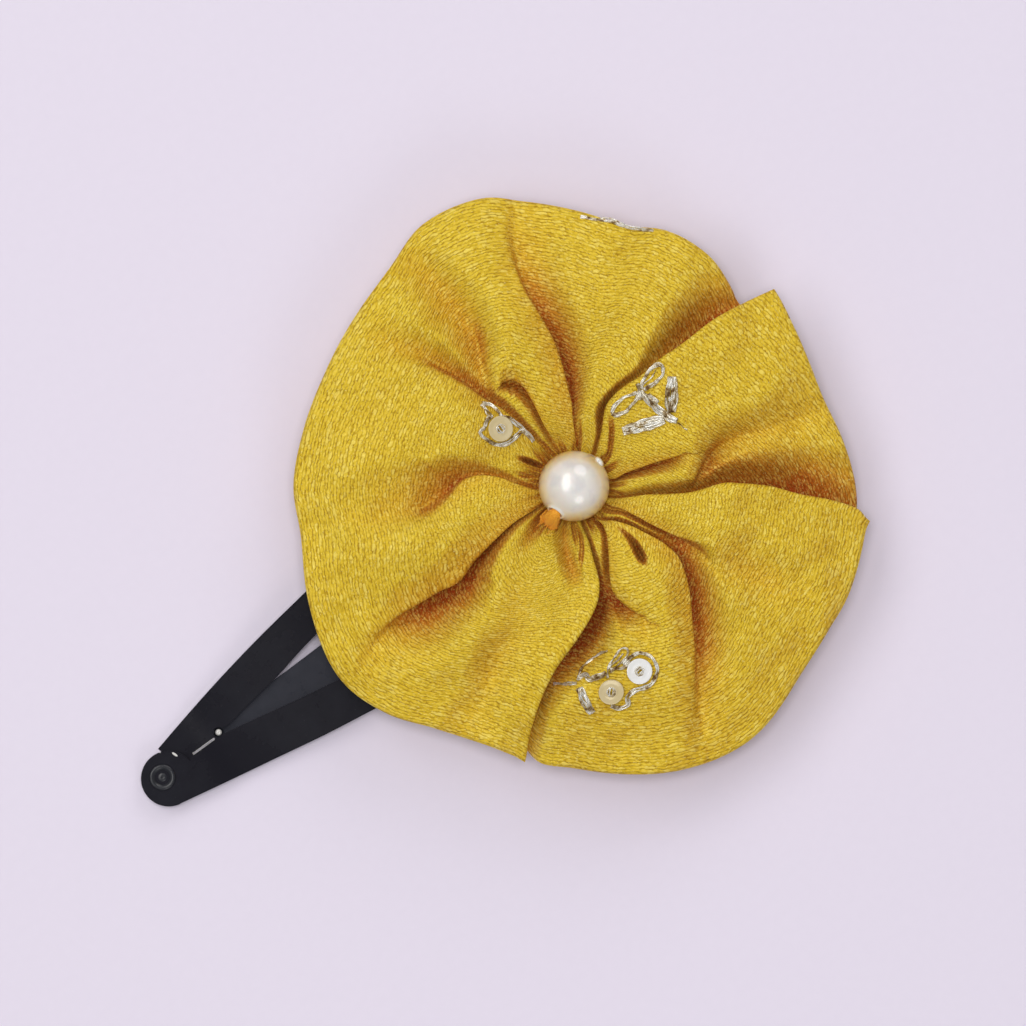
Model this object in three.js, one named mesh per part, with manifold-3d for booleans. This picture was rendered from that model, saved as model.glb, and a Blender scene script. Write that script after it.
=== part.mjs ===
// Flower hair clip: a gathered satin flower with a sewn pearl on a sprung steel snap clip.
// Millimetres, +Z up. The clip lies on its back along X, nose towards -X, and the flower's
// centre stands over the origin, which is on the flat underside of the clip's heel.
import * as THREE from 'three';
import { mergeVertices } from 'three/addons/utils/BufferGeometryUtils.js';
import Module from 'manifold-3d';

const wasm = await Module();
wasm.setup();

// ---------- driving dimensions ----------
const GAP = 0.05; // between pieces that touch
const CUT = 0.3; // across a flexure, where one steel sheet is split into two rigid bodies

const PLATE = 0.6; // painted spring steel
const NOSE = { x: -57.4, r: 3.2 }; // centre and radius of the riveted end
const HEEL = { x: -5, r: 9.8 }; // centre and radius of the closed, wide end
const LEG_FLEX_X = -10; // where the legs bend against the heel
const TONGUE_FLEX_X = -7; // where the tongue bends against the heel
const LEG_INNER = 5; // half the opening between the legs at the heel
const TONGUE_HALF = { root: 3, tip: 2.2 }; // half widths
const TONGUE_TIP_X = -48.9;
const ARCH_END_X = -50; // the legs rise from the heel and come down again here
const LEG_ARCH = 2;
const TONGUE_ARCH = 1.7;
const NOSE_LIFT = 0.75; // height of the legs' underside at the nose, before one laps the other
const LAP = 0.325; // how far the right leg steps up, and the left leg down, to lap at the nose
const SLIT = { y: 0.5, half: 0.15, end: -50.2 }; // between the legs' ends
const NOTCH_R = 0.4; // round notch where the slit opens out
const RIVET = { x: -57.5, y: 0.4, shank: 0.85, hole: 0.9 };

const GLUE = { r: 7.5, thick: 0.95 };
const FELT = { r: 13, thick: 1.2 };
const EYE = 4.8; // radius of the gathered middle, under the pearl
const PEARL = { r: 4, z: 11.5, hole: 0.85 };
const THREAD = 0.6; // radius of the bundle of thread that holds the pearl
const HOLE_TURN = 11; // degrees from X, the way the pearl's hole runs
const HOLE_TILT = 16; // degrees, its nose end up
const SEQUIN = { r: 1.45, hole: 0.35, thick: 0.15 };
const ZARI = 0.22; // radius of the embroidery's metal thread
const TRIM_LIFT = 0.45; // trim above the petals

const GLUE_Z = PLATE + GAP;
const FELT_Z = GLUE_Z + GLUE.thick + GAP;
const FLOWER_Z = FELT_Z + FELT.thick + GAP;

// Section of the flower, radius and height: dished below, crowned above.
const CROWN = [[EYE, 8.4], [8, 10.3], [14, 11.7], [20, 11.9], [26, 11], [31, 9.6], [36, 8]];
const DISH = [[36, 6.9], [FELT.r, FLOWER_Z], [EYE, FLOWER_Z]];

// Each petal's rim, angle in degrees from +X and radius. Each starts and ends at a folded edge.
const PETALS = {
  right_petal: [[-42, 33.8], [-26, 31.2], [-14, 30.3], [-1, 31], [8, 31.8]],
  upper_petal: [
    [8.6, 28.6], [14, 28.9], [22, 30.4], [34, 31.1], [44, 30.4], [56, 31.8], [68, 33.8], [78, 34.7], [86, 34.4],
    [96, 32.3], [110, 31.6], [124, 31.3], [140, 32.1], [154, 31.8], [168, 33.2], [182, 34.7],
    [194, 33.8], [208, 31.5], [218, 31.3], [224, 32],
  ],
  lower_petal: [
    [-135, 31.8], [-124, 32.3], [-110, 34.1], [-96, 35.4], [-82, 34.4], [-69, 33.5], [-56, 33.6],
    [-42, 33.8],
  ],
};

// ---------- materials ----------
const standard = (color, roughness, metalness) => new THREE.MeshStandardMaterial({ color, roughness, metalness });
const blackPaint = standard(0x1d1e22, 0.42, 0.3);
const satin = standard(0xd2ac2e, 0.5, 0);
const felt = standard(0xc9961f, 0.95, 0);
const hotGlue = standard(0xd9a441, 0.35, 0);
const pearlCoat = standard(0xe9dfce, 0.22, 0);
const orangeThread = standard(0xcf7d22, 0.8, 0);
const goldThread = standard(0xbfa66a, 0.4, 0.8);
const sequinFoil = standard(0xe8dfc0, 0.15, 0.6);

// ---------- shape helpers ----------
const radians = THREE.MathUtils.degToRad;
const smooth = (t) => THREE.MathUtils.smoothstep(t, 0, 1);
const polar = (degrees, r) => new THREE.Vector2(r * Math.cos(radians(degrees)), r * Math.sin(radians(degrees)));

// A closed solid of a geometry, for joins and cuts.
function toSolid(geometry) {
  const bare = geometry.clone();
  bare.deleteAttribute('normal');
  bare.deleteAttribute('uv');
  const merged = mergeVertices(bare, 1e-4);
  const triVerts = new Uint32Array(merged.index.array);
  return new wasm.Manifold(new wasm.Mesh({ numProp: 3, vertProperties: merged.attributes.position.array, triVerts }));
}

function toGeometry(solid) {
  const mesh = solid.getMesh();
  const geometry = new THREE.BufferGeometry();
  geometry.setAttribute('position', new THREE.BufferAttribute(new Float32Array(mesh.vertProperties), 3));
  geometry.setIndex(new THREE.BufferAttribute(new Uint32Array(mesh.triVerts), 1));
  geometry.computeVertexNormals();
  return geometry;
}

const prism = (shape, depth, curveSegments = 12) =>
  new THREE.ExtrudeGeometry(shape, { depth, bevelEnabled: false, curveSegments });

// A steel plate of the outline: a bent strip, drawn from the side, cut to the outline's plan.
function bentPlate(shape, liftAt, [from, to], step = 1) {
  const stations = Math.ceil((to - from) / step);
  const xs = Array.from({ length: stations + 1 }, (_, i) => THREE.MathUtils.lerp(from, to, i / stations));
  const under = xs.map((x) => new THREE.Vector2(x, liftAt(x)));
  const over = xs.map((x) => new THREE.Vector2(x, liftAt(x) + PLATE)).reverse();
  const wide = 3 * HEEL.r;
  const strip = prism(new THREE.Shape([...under, ...over]), wide).rotateX(Math.PI / 2).translate(0, wide / 2, 0);
  return toGeometry(toSolid(strip).intersect(toSolid(prism(shape, 10).translate(0, 0, -1))));
}

// A section of [radius, height] points turned round Z.
function turned(section, segments = 32) {
  const points = section.map(([r, z]) => new THREE.Vector2(r, z));
  return new THREE.LatheGeometry(points, segments).rotateX(Math.PI / 2);
}

// A round cord of a radius along a smooth curve through the points.
function cord(points, radius, steps, sides = 6) {
  const section = new THREE.Shape();
  for (let i = 0; i < sides; i++) {
    const a = (2 * Math.PI * i) / sides;
    const place = [radius * Math.cos(a), radius * Math.sin(a)];
    if (i === 0) section.moveTo(...place);
    else section.lineTo(...place);
  }
  const extrudePath = new THREE.CatmullRomCurve3(points);
  return new THREE.ExtrudeGeometry(section, { steps, extrudePath, bevelEnabled: false });
}

// ---------- the snap clip ----------
const archShare = (x) => THREE.MathUtils.clamp((LEG_FLEX_X - x) / (LEG_FLEX_X - ARCH_END_X), 0, 1);
const hump = (x) => (1 - Math.cos(2 * Math.PI * archShare(x))) / 2;
const legLift = (x) => LEG_ARCH * hump(x) + NOSE_LIFT * smooth(archShare(x));
const tongueLift = (x) => TONGUE_ARCH * hump(x);
const LAP_STARTS = -50.6;
const lapShare = (x) => smooth((LAP_STARTS - x) / 1.8);

// The closed end: a ring of steel with a stub for the tongue between two round-ended slots.
function heelShape() {
  const legEnd = LEG_FLEX_X + CUT / 2;
  const stubEnd = TONGUE_FLEX_X + CUT / 2;
  const slotR = (LEG_INNER - TONGUE_HALF.root) / 2;
  const slotY = TONGUE_HALF.root + slotR;
  const slotX = HEEL.x + 0.5;
  const shape = new THREE.Shape();
  shape.moveTo(legEnd, -HEEL.r);
  shape.absarc(HEEL.x, 0, HEEL.r, -Math.PI / 2, Math.PI / 2, false);
  shape.lineTo(legEnd, HEEL.r);
  shape.lineTo(legEnd, LEG_INNER);
  shape.absarc(slotX, slotY, slotR, Math.PI / 2, -Math.PI / 2, true);
  shape.lineTo(stubEnd, TONGUE_HALF.root);
  shape.lineTo(stubEnd, -TONGUE_HALF.root);
  shape.absarc(slotX, -slotY, slotR, Math.PI / 2, -Math.PI / 2, true);
  shape.lineTo(legEnd, -LEG_INNER);
  shape.closePath();
  return shape;
}

// One leg with its eyelet: outer edge, round end, slit, notch, inner edge. The side is 1 for
// the leg on +Y and -1 for the one on -Y, whose outline is the mirror image of what is drawn.
function legShape(side, noseR) {
  const start = LEG_FLEX_X - CUT / 2;
  const slitY = side * SLIT.y + SLIT.half;
  const at = (pairs) => pairs.map(([x, y]) => new THREE.Vector2(x, y));
  const shape = new THREE.Shape();
  shape.moveTo(start, HEEL.r);
  shape.splineThru(at([[-20, 9.25], [-32.8, 7.85], [-45, 5.6], [-53, 3.95], [NOSE.x + 0.6, noseR - 0.06]]));
  shape.absarc(NOSE.x, 0, noseR, radians(79), radians(355), false);
  shape.lineTo(NOSE.x + noseR + 0.6, slitY);
  shape.lineTo(SLIT.end, slitY);
  shape.absarc(SLIT.end + NOTCH_R, slitY, NOTCH_R, radians(180), radians(20), true);
  shape.splineThru(at([[-46.5, 0.55 + side * 0.3], [-41, 1.5], [-34.5, 2.8], [-24, 4.2], [-14, 4.95]]));
  shape.lineTo(start, LEG_INNER);
  shape.closePath();
  const outline = shape.getPoints(12).map((p) => new THREE.Vector2(p.x, side * p.y));
  const leg = new THREE.Shape(side > 0 ? outline : outline.reverse());
  leg.holes.push(new THREE.Path().absarc(RIVET.x, RIVET.y, RIVET.hole, 0, 2 * Math.PI, true));
  return leg;
}

function tongueShape() {
  const start = TONGUE_FLEX_X - CUT / 2;
  const { root, tip } = TONGUE_HALF;
  const tipX = TONGUE_TIP_X + tip;
  const shape = new THREE.Shape();
  shape.moveTo(start, root);
  shape.bezierCurveTo(-25, root, -30, tip + 0.1, tipX, tip);
  shape.absarc(tipX, 0, tip, Math.PI / 2, (3 * Math.PI) / 2, false);
  shape.bezierCurveTo(-30, -tip - 0.1, -25, -root, start, -root);
  shape.closePath();
  return shape;
}

// A semi-tubular rivet: low head below, rolled lip round a hollow above.
function rivetGeometry() {
  const below = NOSE_LIFT - LAP - GAP; // the head's upper face, under the left leg
  const above = NOSE_LIFT + LAP + PLATE + GAP; // the lip's lower face, over the right leg
  const section = [
    [0, 0.06], [1.4, 0.06], [1.7, 0.18], [1.6, below], [RIVET.shank, below], [RIVET.shank, above],
    [1.3, above], [1.5, above + 0.14], [1.3, above + 0.3], [0.95, above + 0.24], [0.6, above - 0.2], [0, above - 0.3],
  ];
  return turned(section, 24).translate(RIVET.x, RIVET.y, 0);
}

// ---------- the flower ----------
const crownCurve = new THREE.SplineCurve(CROWN.map(([r, z]) => new THREE.Vector2(r, z)));

// Height of the petals' crown at a distance from the middle.
function crownAt(r) {
  const samples = crownCurve.getPoints(120);
  const next = samples.findIndex((p) => p.x >= r);
  if (next <= 0) return CROWN[0][1];
  const [a, b] = [samples[next - 1], samples[next]];
  return THREE.MathUtils.lerp(a.y, b.y, (r - a.x) / (b.x - a.x));
}

function flowerSolid() {
  const above = crownCurve.getPoints(12).map((p) => [p.x, p.y]);
  const section = [...DISH].reverse().concat(above.reverse());
  section.push(section[0]);
  return toSolid(turned(section, 72));
}

// A petal's plan: its rim, two folded sides held back from its neighbours, and the eye.
function petalShape(rim) {
  const [first, last] = [rim[0][0], rim.at(-1)[0]];
  const side = (degrees, r, way) => polar(degrees, r).add(polar(degrees + 90, (way * CUT) / 2));
  const shape = new THREE.Shape();
  shape.moveTo(...side(first, EYE, 1).toArray());
  shape.lineTo(...side(first, rim[0][1], 1).toArray());
  shape.splineThru(rim.slice(1, -1).map(([degrees, r]) => polar(degrees, r)).concat(side(last, rim.at(-1)[1], -1)));
  shape.lineTo(...side(last, EYE, -1).toArray());
  shape.absarc(0, 0, EYE + 0.02, radians(last - 2.5), radians(first + 2.5), true);
  shape.closePath();
  return shape;
}

const petalGeometry = (rim, flower) => toGeometry(toSolid(prism(petalShape(rim), 20, 3)).intersect(flower));

// The pearl's hole runs nearly along X, nose end up.
const holeAxis = new THREE.Vector3(-1, 0, 0)
  .applyAxisAngle(new THREE.Vector3(0, 1, 0), radians(HOLE_TILT))
  .applyAxisAngle(new THREE.Vector3(0, 0, 1), radians(HOLE_TURN));
const pearlCentre = new THREE.Vector3(0, 0, PEARL.z);

function pearlGeometry() {
  const ball = new THREE.SphereGeometry(PEARL.r, 32, 20);
  const drill = new THREE.CylinderGeometry(PEARL.hole, PEARL.hole, 3 * PEARL.r, 20);
  drill.applyQuaternion(new THREE.Quaternion().setFromUnitVectors(new THREE.Vector3(0, 1, 0), holeAxis));
  return toGeometry(toSolid(ball).subtract(toSolid(drill))).translate(0, 0, PEARL.z);
}

// The thread leaves both ends of the hole and goes down into the eye.
function beadThreadGeometry() {
  const along = (t) => pearlCentre.clone().addScaledVector(holeAxis, t);
  const plan = (t, z) => along(t).setZ(z);
  const end = PEARL.r;
  const points = [
    plan(1.6, 4), plan(2.4, 6.4), plan(3.9, 8.6), plan(4.9, 10.6), plan(5, 12.2), along(end), along(0),
    along(-end), plan(-4.9, 9.9), plan(-4, 8.5), plan(-2.4, 6.4), plan(-1.6, 4),
  ];
  return cord(points, THREAD, 36, 8);
}

// ---------- embroidery and sequins ----------
const lifted = ([x, y], more = 0) => new THREE.Vector3(x, y, crownAt(Math.hypot(x, y)) + TRIM_LIFT + more);

// A strand of metal thread through plan points, lying on the crown.
const strand = (points, steps = 3) => cord(points.map((p) => lifted(p)), ZARI, steps * (points.length - 1), 5);

// A leaf outlined by two strands that bow apart between its ends.
function leaf([x0, y0], [x1, y1], half) {
  const [dx, dy] = [x1 - x0, y1 - y0];
  const long = Math.hypot(dx, dy);
  const bow = (way) => [(x0 + x1) / 2 - (way * half * dy) / long, (y0 + y1) / 2 + (way * half * dx) / long];
  return [1, -1].map((way) => strand([[x0, y0], bow(way), [x1, y1]]));
}

const joined = (geometries) => toGeometry(geometries.map(toSolid).reduce((whole, piece) => whole.add(piece)));

// A ring of thread in short bows round a sequin, open over part of the turn.
function scallop([x, y], from, to, r = SEQUIN.r + 0.55) {
  const points = [];
  for (let degrees = from; degrees <= to; degrees += 40) {
    const place = polar(degrees, r);
    points.push([x + place.x, y + place.y]);
  }
  return strand(points, 2);
}

const SEQUINS = { sequin_1: [-4.9, -21.9], sequin_2: [-10.4, -21.7], sequin_3: [-2.8, 10.0] };

const MOTIFS = {
  // four leaves on a bent stem, beside the right petal's fold
  leaf_motif: () => [
    ...leaf([12.48, 4.77], [15.9, 4.98], 0.6),
    ...leaf([12.48, 4.77], [9.2, 3.0], 0.55),
    strand([[12.48, 4.77], [14.2, 1.9], [14.1, -0.4]]),
    ...leaf([14.2, 1.9], [17, 4.4], 0.5),
    ...leaf([14.2, 1.9], [9.4, 1.3], 0.5),
  ],
  // a spray with two buds round sequins
  vine_motif: () => [
    strand([[-16.5, -16.2], [-13.2, -18.0], [-10.6, -18.9], [-8.0, -19.6]]),
    strand([[-13.2, -18.0], [-10.4, -16.9], [-7.6, -17.3], [-5.7, -18.9]]),
    ...leaf([-8.0, -19.6], [-5.9, -18.6], 0.5),
    ...leaf([-13.2, -18.0], [-13.6, -21.9], 0.5),
    scallop(SEQUINS.sequin_1, -120, 120),
    strand([[-8.0, -19.6], [-5.9, -20.1]]),
    strand([[-10.6, -18.9], [-10.5, -19.8]]),
    scallop(SEQUINS.sequin_2, 90, 330),
  ],
  // one bud, tucked beside a pleat
  bud_motif: () => [
    scallop(SEQUINS.sequin_3, 60, 340),
    strand([[-1.8, 11.75], [-2.2, 13.6], [0.4, 12.4]]),
    ...leaf([-0.95, 9.3], [-0.4, 6.3], 0.4),
  ],
  // threads that run over the rim
  rim_motif: () => [strand([[18.6, 23.6], [20.3, 22.4], [21.6, 22.0]]), ...leaf([21.6, 22.0], [24.2, 18.8], 0.4)],
};

function sequinGeometry() {
  const { r, hole, thick } = SEQUIN;
  return turned([[hole, 0], [r, 0], [r, thick], [hole, thick], [hole, 0]], 20);
}

// ---------- assembly ----------
const part = new THREE.Group();

function add(name, geometry, material, parent = part) {
  const mesh = new THREE.Mesh(geometry, material);
  mesh.name = name;
  parent.add(mesh);
  return mesh;
}

add('clip_heel', prism(heelShape(), PLATE, 16), blackPaint);
const legSpan = [NOSE.x - NOSE.r - 1, LEG_FLEX_X + 1];
const leg = (side, noseR) => bentPlate(legShape(side, noseR), (x) => legLift(x) - side * LAP * lapShare(x), legSpan);
add('left_leg', leg(1, NOSE.r - 0.1), blackPaint);
add('right_leg', leg(-1, NOSE.r), blackPaint);
add('tongue', bentPlate(tongueShape(), tongueLift, [TONGUE_TIP_X - 1, TONGUE_FLEX_X + 1]), blackPaint);
add('nose_rivet', rivetGeometry(), blackPaint);

const disc = ({ r, thick }, z) => turned([[0, z], [r, z], [r, z + thick], [0, z + thick]], 40);
add('glue_pad', disc(GLUE, GLUE_Z), hotGlue);
add('felt_backing', disc(FELT, FELT_Z), felt);

const flower = flowerSolid();
for (const [name, rim] of Object.entries(PETALS)) add(name, petalGeometry(rim, flower), satin);

// Turns of thread that draw the petals in round the eye.
const windings = new THREE.Shape().absarc(EYE - 0.9, 5.6, 0.7, 0, 2 * Math.PI).getPoints(5).map((p) => [p.x, p.y]);
add('gather_thread', turned(windings, 28), orangeThread);
add('pearl', pearlGeometry(), pearlCoat);
add('bead_thread', beadThreadGeometry(), orangeThread);

for (const [name, [x, y]] of Object.entries(SEQUINS)) {
  const seat = new THREE.Group();
  seat.position.copy(lifted([x, y], 0.2));
  part.add(seat);
  add(name, sequinGeometry(), sequinFoil, seat);
  const stitch = [[0, 0, -0.3], [0, 0, 0.35], [0.75, 0, 0.42]].map((p) => new THREE.Vector3(...p));
  add(name + '_stitch', cord(stitch, 0.12, 6, 5), goldThread, seat);
}
for (const [name, make] of Object.entries(MOTIFS)) add(name, joined(make()), goldThread);

export default part;
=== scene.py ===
# Looks of the flower hair clip: gathered satin petals, sewn pearl, metal-thread sprigs and the
# painted spring-steel clip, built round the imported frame. Lengths in the tables are millimetres.
import math

import bmesh
import bpy
import numpy as np
from mathutils import Matrix, Vector, geometry, noise


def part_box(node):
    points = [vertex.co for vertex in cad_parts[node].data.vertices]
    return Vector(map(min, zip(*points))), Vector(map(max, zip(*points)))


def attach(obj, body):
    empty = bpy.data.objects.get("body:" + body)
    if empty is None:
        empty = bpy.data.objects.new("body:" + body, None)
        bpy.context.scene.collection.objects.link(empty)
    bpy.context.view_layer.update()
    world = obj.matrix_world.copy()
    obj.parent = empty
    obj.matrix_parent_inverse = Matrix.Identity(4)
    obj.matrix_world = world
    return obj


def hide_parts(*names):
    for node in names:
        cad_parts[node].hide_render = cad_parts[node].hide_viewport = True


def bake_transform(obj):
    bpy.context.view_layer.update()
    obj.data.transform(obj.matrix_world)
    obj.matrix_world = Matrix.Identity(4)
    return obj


MM = 0.001
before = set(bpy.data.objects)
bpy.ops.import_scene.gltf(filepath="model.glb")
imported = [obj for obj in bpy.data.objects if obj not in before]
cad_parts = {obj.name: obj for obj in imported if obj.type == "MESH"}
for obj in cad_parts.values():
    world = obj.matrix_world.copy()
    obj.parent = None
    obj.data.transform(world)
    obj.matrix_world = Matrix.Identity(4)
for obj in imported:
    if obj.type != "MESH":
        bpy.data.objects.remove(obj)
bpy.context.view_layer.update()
scene = bpy.context.scene

# ---------------------------------------------------------------- small helpers


def smooth(t):
    t = np.clip(t, 0, 1)
    return t * t * (3 - 2 * t)


def lerp(a, b, t):
    return a + (b - a) * t


def catmull(points, per=10):
    """A smooth curve through the points, as an array with per steps to each span."""
    p = np.array(points, float)
    p = np.vstack([2 * p[0] - p[1], p, 2 * p[-1] - p[-2]])
    t = np.linspace(0, 1, per, endpoint=False)[:, None]
    out = []
    for a, b, c, d in zip(p, p[1:], p[2:], p[3:]):
        bend, twist = 2 * a - 5 * b + 4 * c - d, 3 * b - a - 3 * c + d
        out.append(0.5 * (2 * b + (c - a) * t + bend * t**2 + twist * t**3))
    return np.vstack(out + [p[-2:-1]])


def table(points, x):
    """Smooth value at x of a curve given as (x, value) points in rising x."""
    curve = catmull(points)
    return np.interp(x, curve[:, 0], curve[:, 1])


def new_object(name, vertices, faces, uvs=None):
    """A mesh object from millimetre vertices. uvs, where given, holds one pair per vertex."""
    mesh = bpy.data.meshes.new(name)
    mesh.from_pydata((np.array(vertices, float) * MM).tolist(), [], [tuple(f) for f in faces])
    if uvs is not None:
        layer = mesh.uv_layers.new(name="weave")
        loops = np.zeros(len(mesh.loops), np.int32)
        mesh.loops.foreach_get("vertex_index", loops)
        layer.data.foreach_set("uv", np.array(uvs, np.float32)[loops].ravel())
    mesh.validate()
    obj = bpy.data.objects.new(name, mesh)
    scene.collection.objects.link(obj)
    mesh.shade_smooth()
    return obj


def finish_piece(obj, material, body=None, replaces=()):
    """Give a piece its material, the body it rides on and the CAD nodes it stands for."""
    obj.data.materials.clear()
    obj.data.materials.append(material)
    if body:
        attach(obj, body)
    if replaces:
        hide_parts(*replaces)
    return obj


# ---------------------------------------------------------------- materials


class Shader:
    """Short names for building one node material."""

    def __init__(self, name):
        self.material = bpy.data.materials.new(name)
        self.material.use_nodes = True
        self.tree = self.material.node_tree
        self.bsdf = self.tree.nodes["Principled BSDF"]

    def node(self, kind, **inputs):
        made = self.tree.nodes.new(kind)
        for key, value in inputs.items():
            if hasattr(made, key):
                setattr(made, key, value)
            else:
                self.put(made.inputs[key.replace("_", " ")], value)
        return made

    def put(self, socket, value):
        if isinstance(value, bpy.types.NodeSocket):
            self.tree.links.new(value, socket)
        else:
            socket.default_value = value

    def math(self, operation, a, b=0.0):
        made = self.tree.nodes.new("ShaderNodeMath")
        made.operation = operation
        self.put(made.inputs[0], a)
        self.put(made.inputs[1], b)
        return made.outputs[0]

    def add(self, a, b):
        return self.math("ADD", a, b)

    def sub(self, a, b):
        return self.math("SUBTRACT", a, b)

    def mul(self, a, b):
        return self.math("MULTIPLY", a, b)

    def saw(self, value):
        """1 where the value is whole, 0 half-way between."""
        return self.math("ABSOLUTE", self.sub(self.mul(self.math("FRACT", value), 2.0), 1.0))

    def ramp(self, factor, stops):
        """stops holds (place, colour) pairs; a plain number is a grey."""
        made = self.tree.nodes.new("ShaderNodeValToRGB")
        self.put(made.inputs[0], factor)
        elements = made.color_ramp.elements
        while len(elements) < len(stops):
            elements.new(0.5)
        for element, (place, colour) in zip(elements, stops):
            element.position = place
            element.color = (*colour, 1) if isinstance(colour, tuple) else (colour, colour, colour, 1)
        return made.outputs[0]

    def mix(self, factor, a, b):
        made = self.tree.nodes.new("ShaderNodeMix")
        made.data_type = "RGBA"
        self.put(made.inputs[0], factor)
        for socket, value in ((made.inputs[6], a), (made.inputs[7], b)):
            self.put(socket, (*value, 1) if isinstance(value, tuple) else value)
        return made.outputs[2]

    def noise(self, vector, scale, detail=2.0, rough=0.5):
        made = self.node("ShaderNodeTexNoise", Scale=scale, Detail=detail, Roughness=rough)
        self.put(made.inputs["Vector"], vector)
        return made.outputs[0]

    def bump(self, height, strength, distance):
        made = self.node("ShaderNodeBump", Strength=strength, Distance=distance)
        self.put(made.inputs["Height"], height)
        return made.outputs[0]

    def attribute(self, name):
        return self.node("ShaderNodeAttribute", attribute_name=name).outputs["Fac"]

    def split(self, vector):
        made = self.node("ShaderNodeSeparateXYZ")
        self.put(made.inputs[0], vector)
        return made.outputs[0], made.outputs[1]

    def set(self, **values):
        for key, value in values.items():
            value = (*value, 1) if isinstance(value, tuple) else value
            self.put(self.bsdf.inputs[key.replace("_", " ")], value)

    def position(self):
        return self.node("ShaderNodeTexCoord").outputs["Object"]


RIB = 0.37  # pitch of the satin's ribs
FLOAT = 0.47  # length of one float along a rib
STAGGER = 0.46  # share of a float by which each rib starts after the one before
# painted shade by depth of crease: darker and redder further down, standing in for shade and light bounced
# inside the gold cloth
CREASE_SHADE = [(0.0, (0.74, 0.50, 0.030)), (0.16, (0.725, 0.46, 0.028)), (0.36, (0.67, 0.365, 0.024)),
       (0.6, (0.575, 0.220, 0.019)), (0.8, (0.475, 0.105, 0.013)), (1.0, (0.36, 0.045, 0.010))]
SHADED_SLOPE, LIT_SLOPE = (0.63, 0.30, 0.022), (0.86, 0.65, 0.06)  # painted shade on slopes that fall away from the light, painted sheen on slopes that face it
SHADOW, CREST = (0.22, 0.075, 0.004), (0.96, 0.78, 0.14)  # painted shade between the floats, painted highlight on top of them
GLINT, SPARK = (0.98, 0.85, 0.26), (0.98, 0.84, 0.30)  # floats, and fibres, that catch the light
GOLD_TINT = (1.0, 0.75, 0.2)


def satin_material():
    """Gold crepe-back satin: fine ribs across the petals, each a row of short floats that glint one
    by one. Painted shade darkens and reddens the colour down in the creases and on slopes that fall
    away from the light, and a painted sheen lightens slopes that face it."""
    s = Shader("gold_satin")
    uv = s.node("ShaderNodeUVMap", uv_map="weave").outputs[0]  # in millimetres
    along, across = s.split(uv)
    # which rib and which float a point is in, with ribs that wander and floats of uneven length
    row = s.add(s.math("DIVIDE", across, RIB), s.mul(s.noise(uv, 0.3, 1.0), 1.8))
    row = s.add(row, s.mul(s.noise(uv, 1.7, 1.0), 1.3))
    rib = s.math("FLOOR", row)
    off = s.saw(row)
    place = s.add(s.math("DIVIDE", along, FLOAT), s.mul(rib, STAGGER))
    place = s.add(place, s.mul(s.noise(uv, 1.1, 1.0), 2.2))
    end = s.saw(place)
    which = s.node("ShaderNodeCombineXYZ")
    s.put(which.inputs[0], s.math("FLOOR", place))
    s.put(which.inputs[1], rib)
    chance = s.node("ShaderNodeTexWhiteNoise", Vector=which.outputs[0]).outputs["Value"]
    # how far from the middle of a float: 0 on its crest, 1 between two ribs
    lens = s.add(s.math("POWER", off, 2.0), s.mul(s.math("POWER", end, 3.0), 0.5))
    gap = s.ramp(lens, [(0.30, 0), (0.98, 1)])
    crest = s.sub(1.0, gap)
    grain = s.noise(uv, 5.5, 1.0, 0.6)
    knots = s.noise(uv, 2.6, 1.0, 0.6)
    # painted shade: the colour darkens and reddens down in the creases
    crease = s.attribute("crease")
    colour = s.ramp(crease, CREASE_SHADE)
    # painted shade on slopes turned from the light, then a painted sheen on slopes that face it
    colour = s.mix(s.mul(s.attribute("falls_away"), 0.45), colour, SHADED_SLOPE)
    colour = s.mix(s.mul(s.attribute("faces_up_slope"), 0.35), colour, LIT_SLOPE)
    # deeper is the colour in painted shade, used between the floats; brighter is a painted highlight on their
    # crests
    deeper = s.mix(0.68, colour, SHADOW)
    brighter = s.mix(0.4, colour, CREST)
    fray = s.ramp(s.noise(uv, 1.9, 2.0), [(0.40, 0.12), (0.58, 1)])
    colour = s.mix(s.mul(gap, s.mul(fray, 0.95)), colour, deeper)
    lit = s.ramp(s.add(s.mul(chance, 0.2), s.mul(knots, 0.9)), [(0.46, 0), (0.76, 1)])
    colour = s.mix(s.mul(lit, crest), colour, brighter)
    glint = s.mul(s.math("GREATER_THAN", chance, 0.84), s.mul(crest, 0.22))
    colour = s.mix(s.mul(glint, s.sub(1.0, s.mul(crease, 0.75))), colour, GLINT)
    colour = s.mix(s.ramp(knots, [(0.3, 0.5), (0.46, 0)]), colour, deeper)
    colour = s.mix(s.mul(s.ramp(grain, [(0.60, 0), (0.72, 1)]), 0.5), colour, SPARK)
    height = s.add(s.sub(s.mul(knots, 0.7), s.mul(gap, 0.6)), s.mul(grain, 0.6))
    rough = s.ramp(grain, [(0.4, 0.64), (0.6, 0.5), (0.74, 0.22)])
    s.set(Base_Color=colour, Roughness=rough, Normal=s.bump(height, 0.7, 0.00012), Metallic=0.15)
    s.set(Sheen_Weight=0.08, Sheen_Roughness=0.35, Sheen_Tint=GOLD_TINT, Specular_Tint=GOLD_TINT)
    return s.material


def felt_material():
    s = Shader("mustard_felt")
    place = s.position()
    fibre = s.noise(place, 2600.0, 4.0, 0.7)
    clump = s.noise(place, 420.0, 3.0)
    colour = s.mix(clump, (0.50, 0.27, 0.015), (0.66, 0.40, 0.03))
    s.set(Base_Color=colour, Roughness=0.95, Normal=s.bump(fibre, 0.7, 0.0003))
    s.set(Sheen_Weight=0.5, Sheen_Roughness=0.6)
    return s.material


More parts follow.
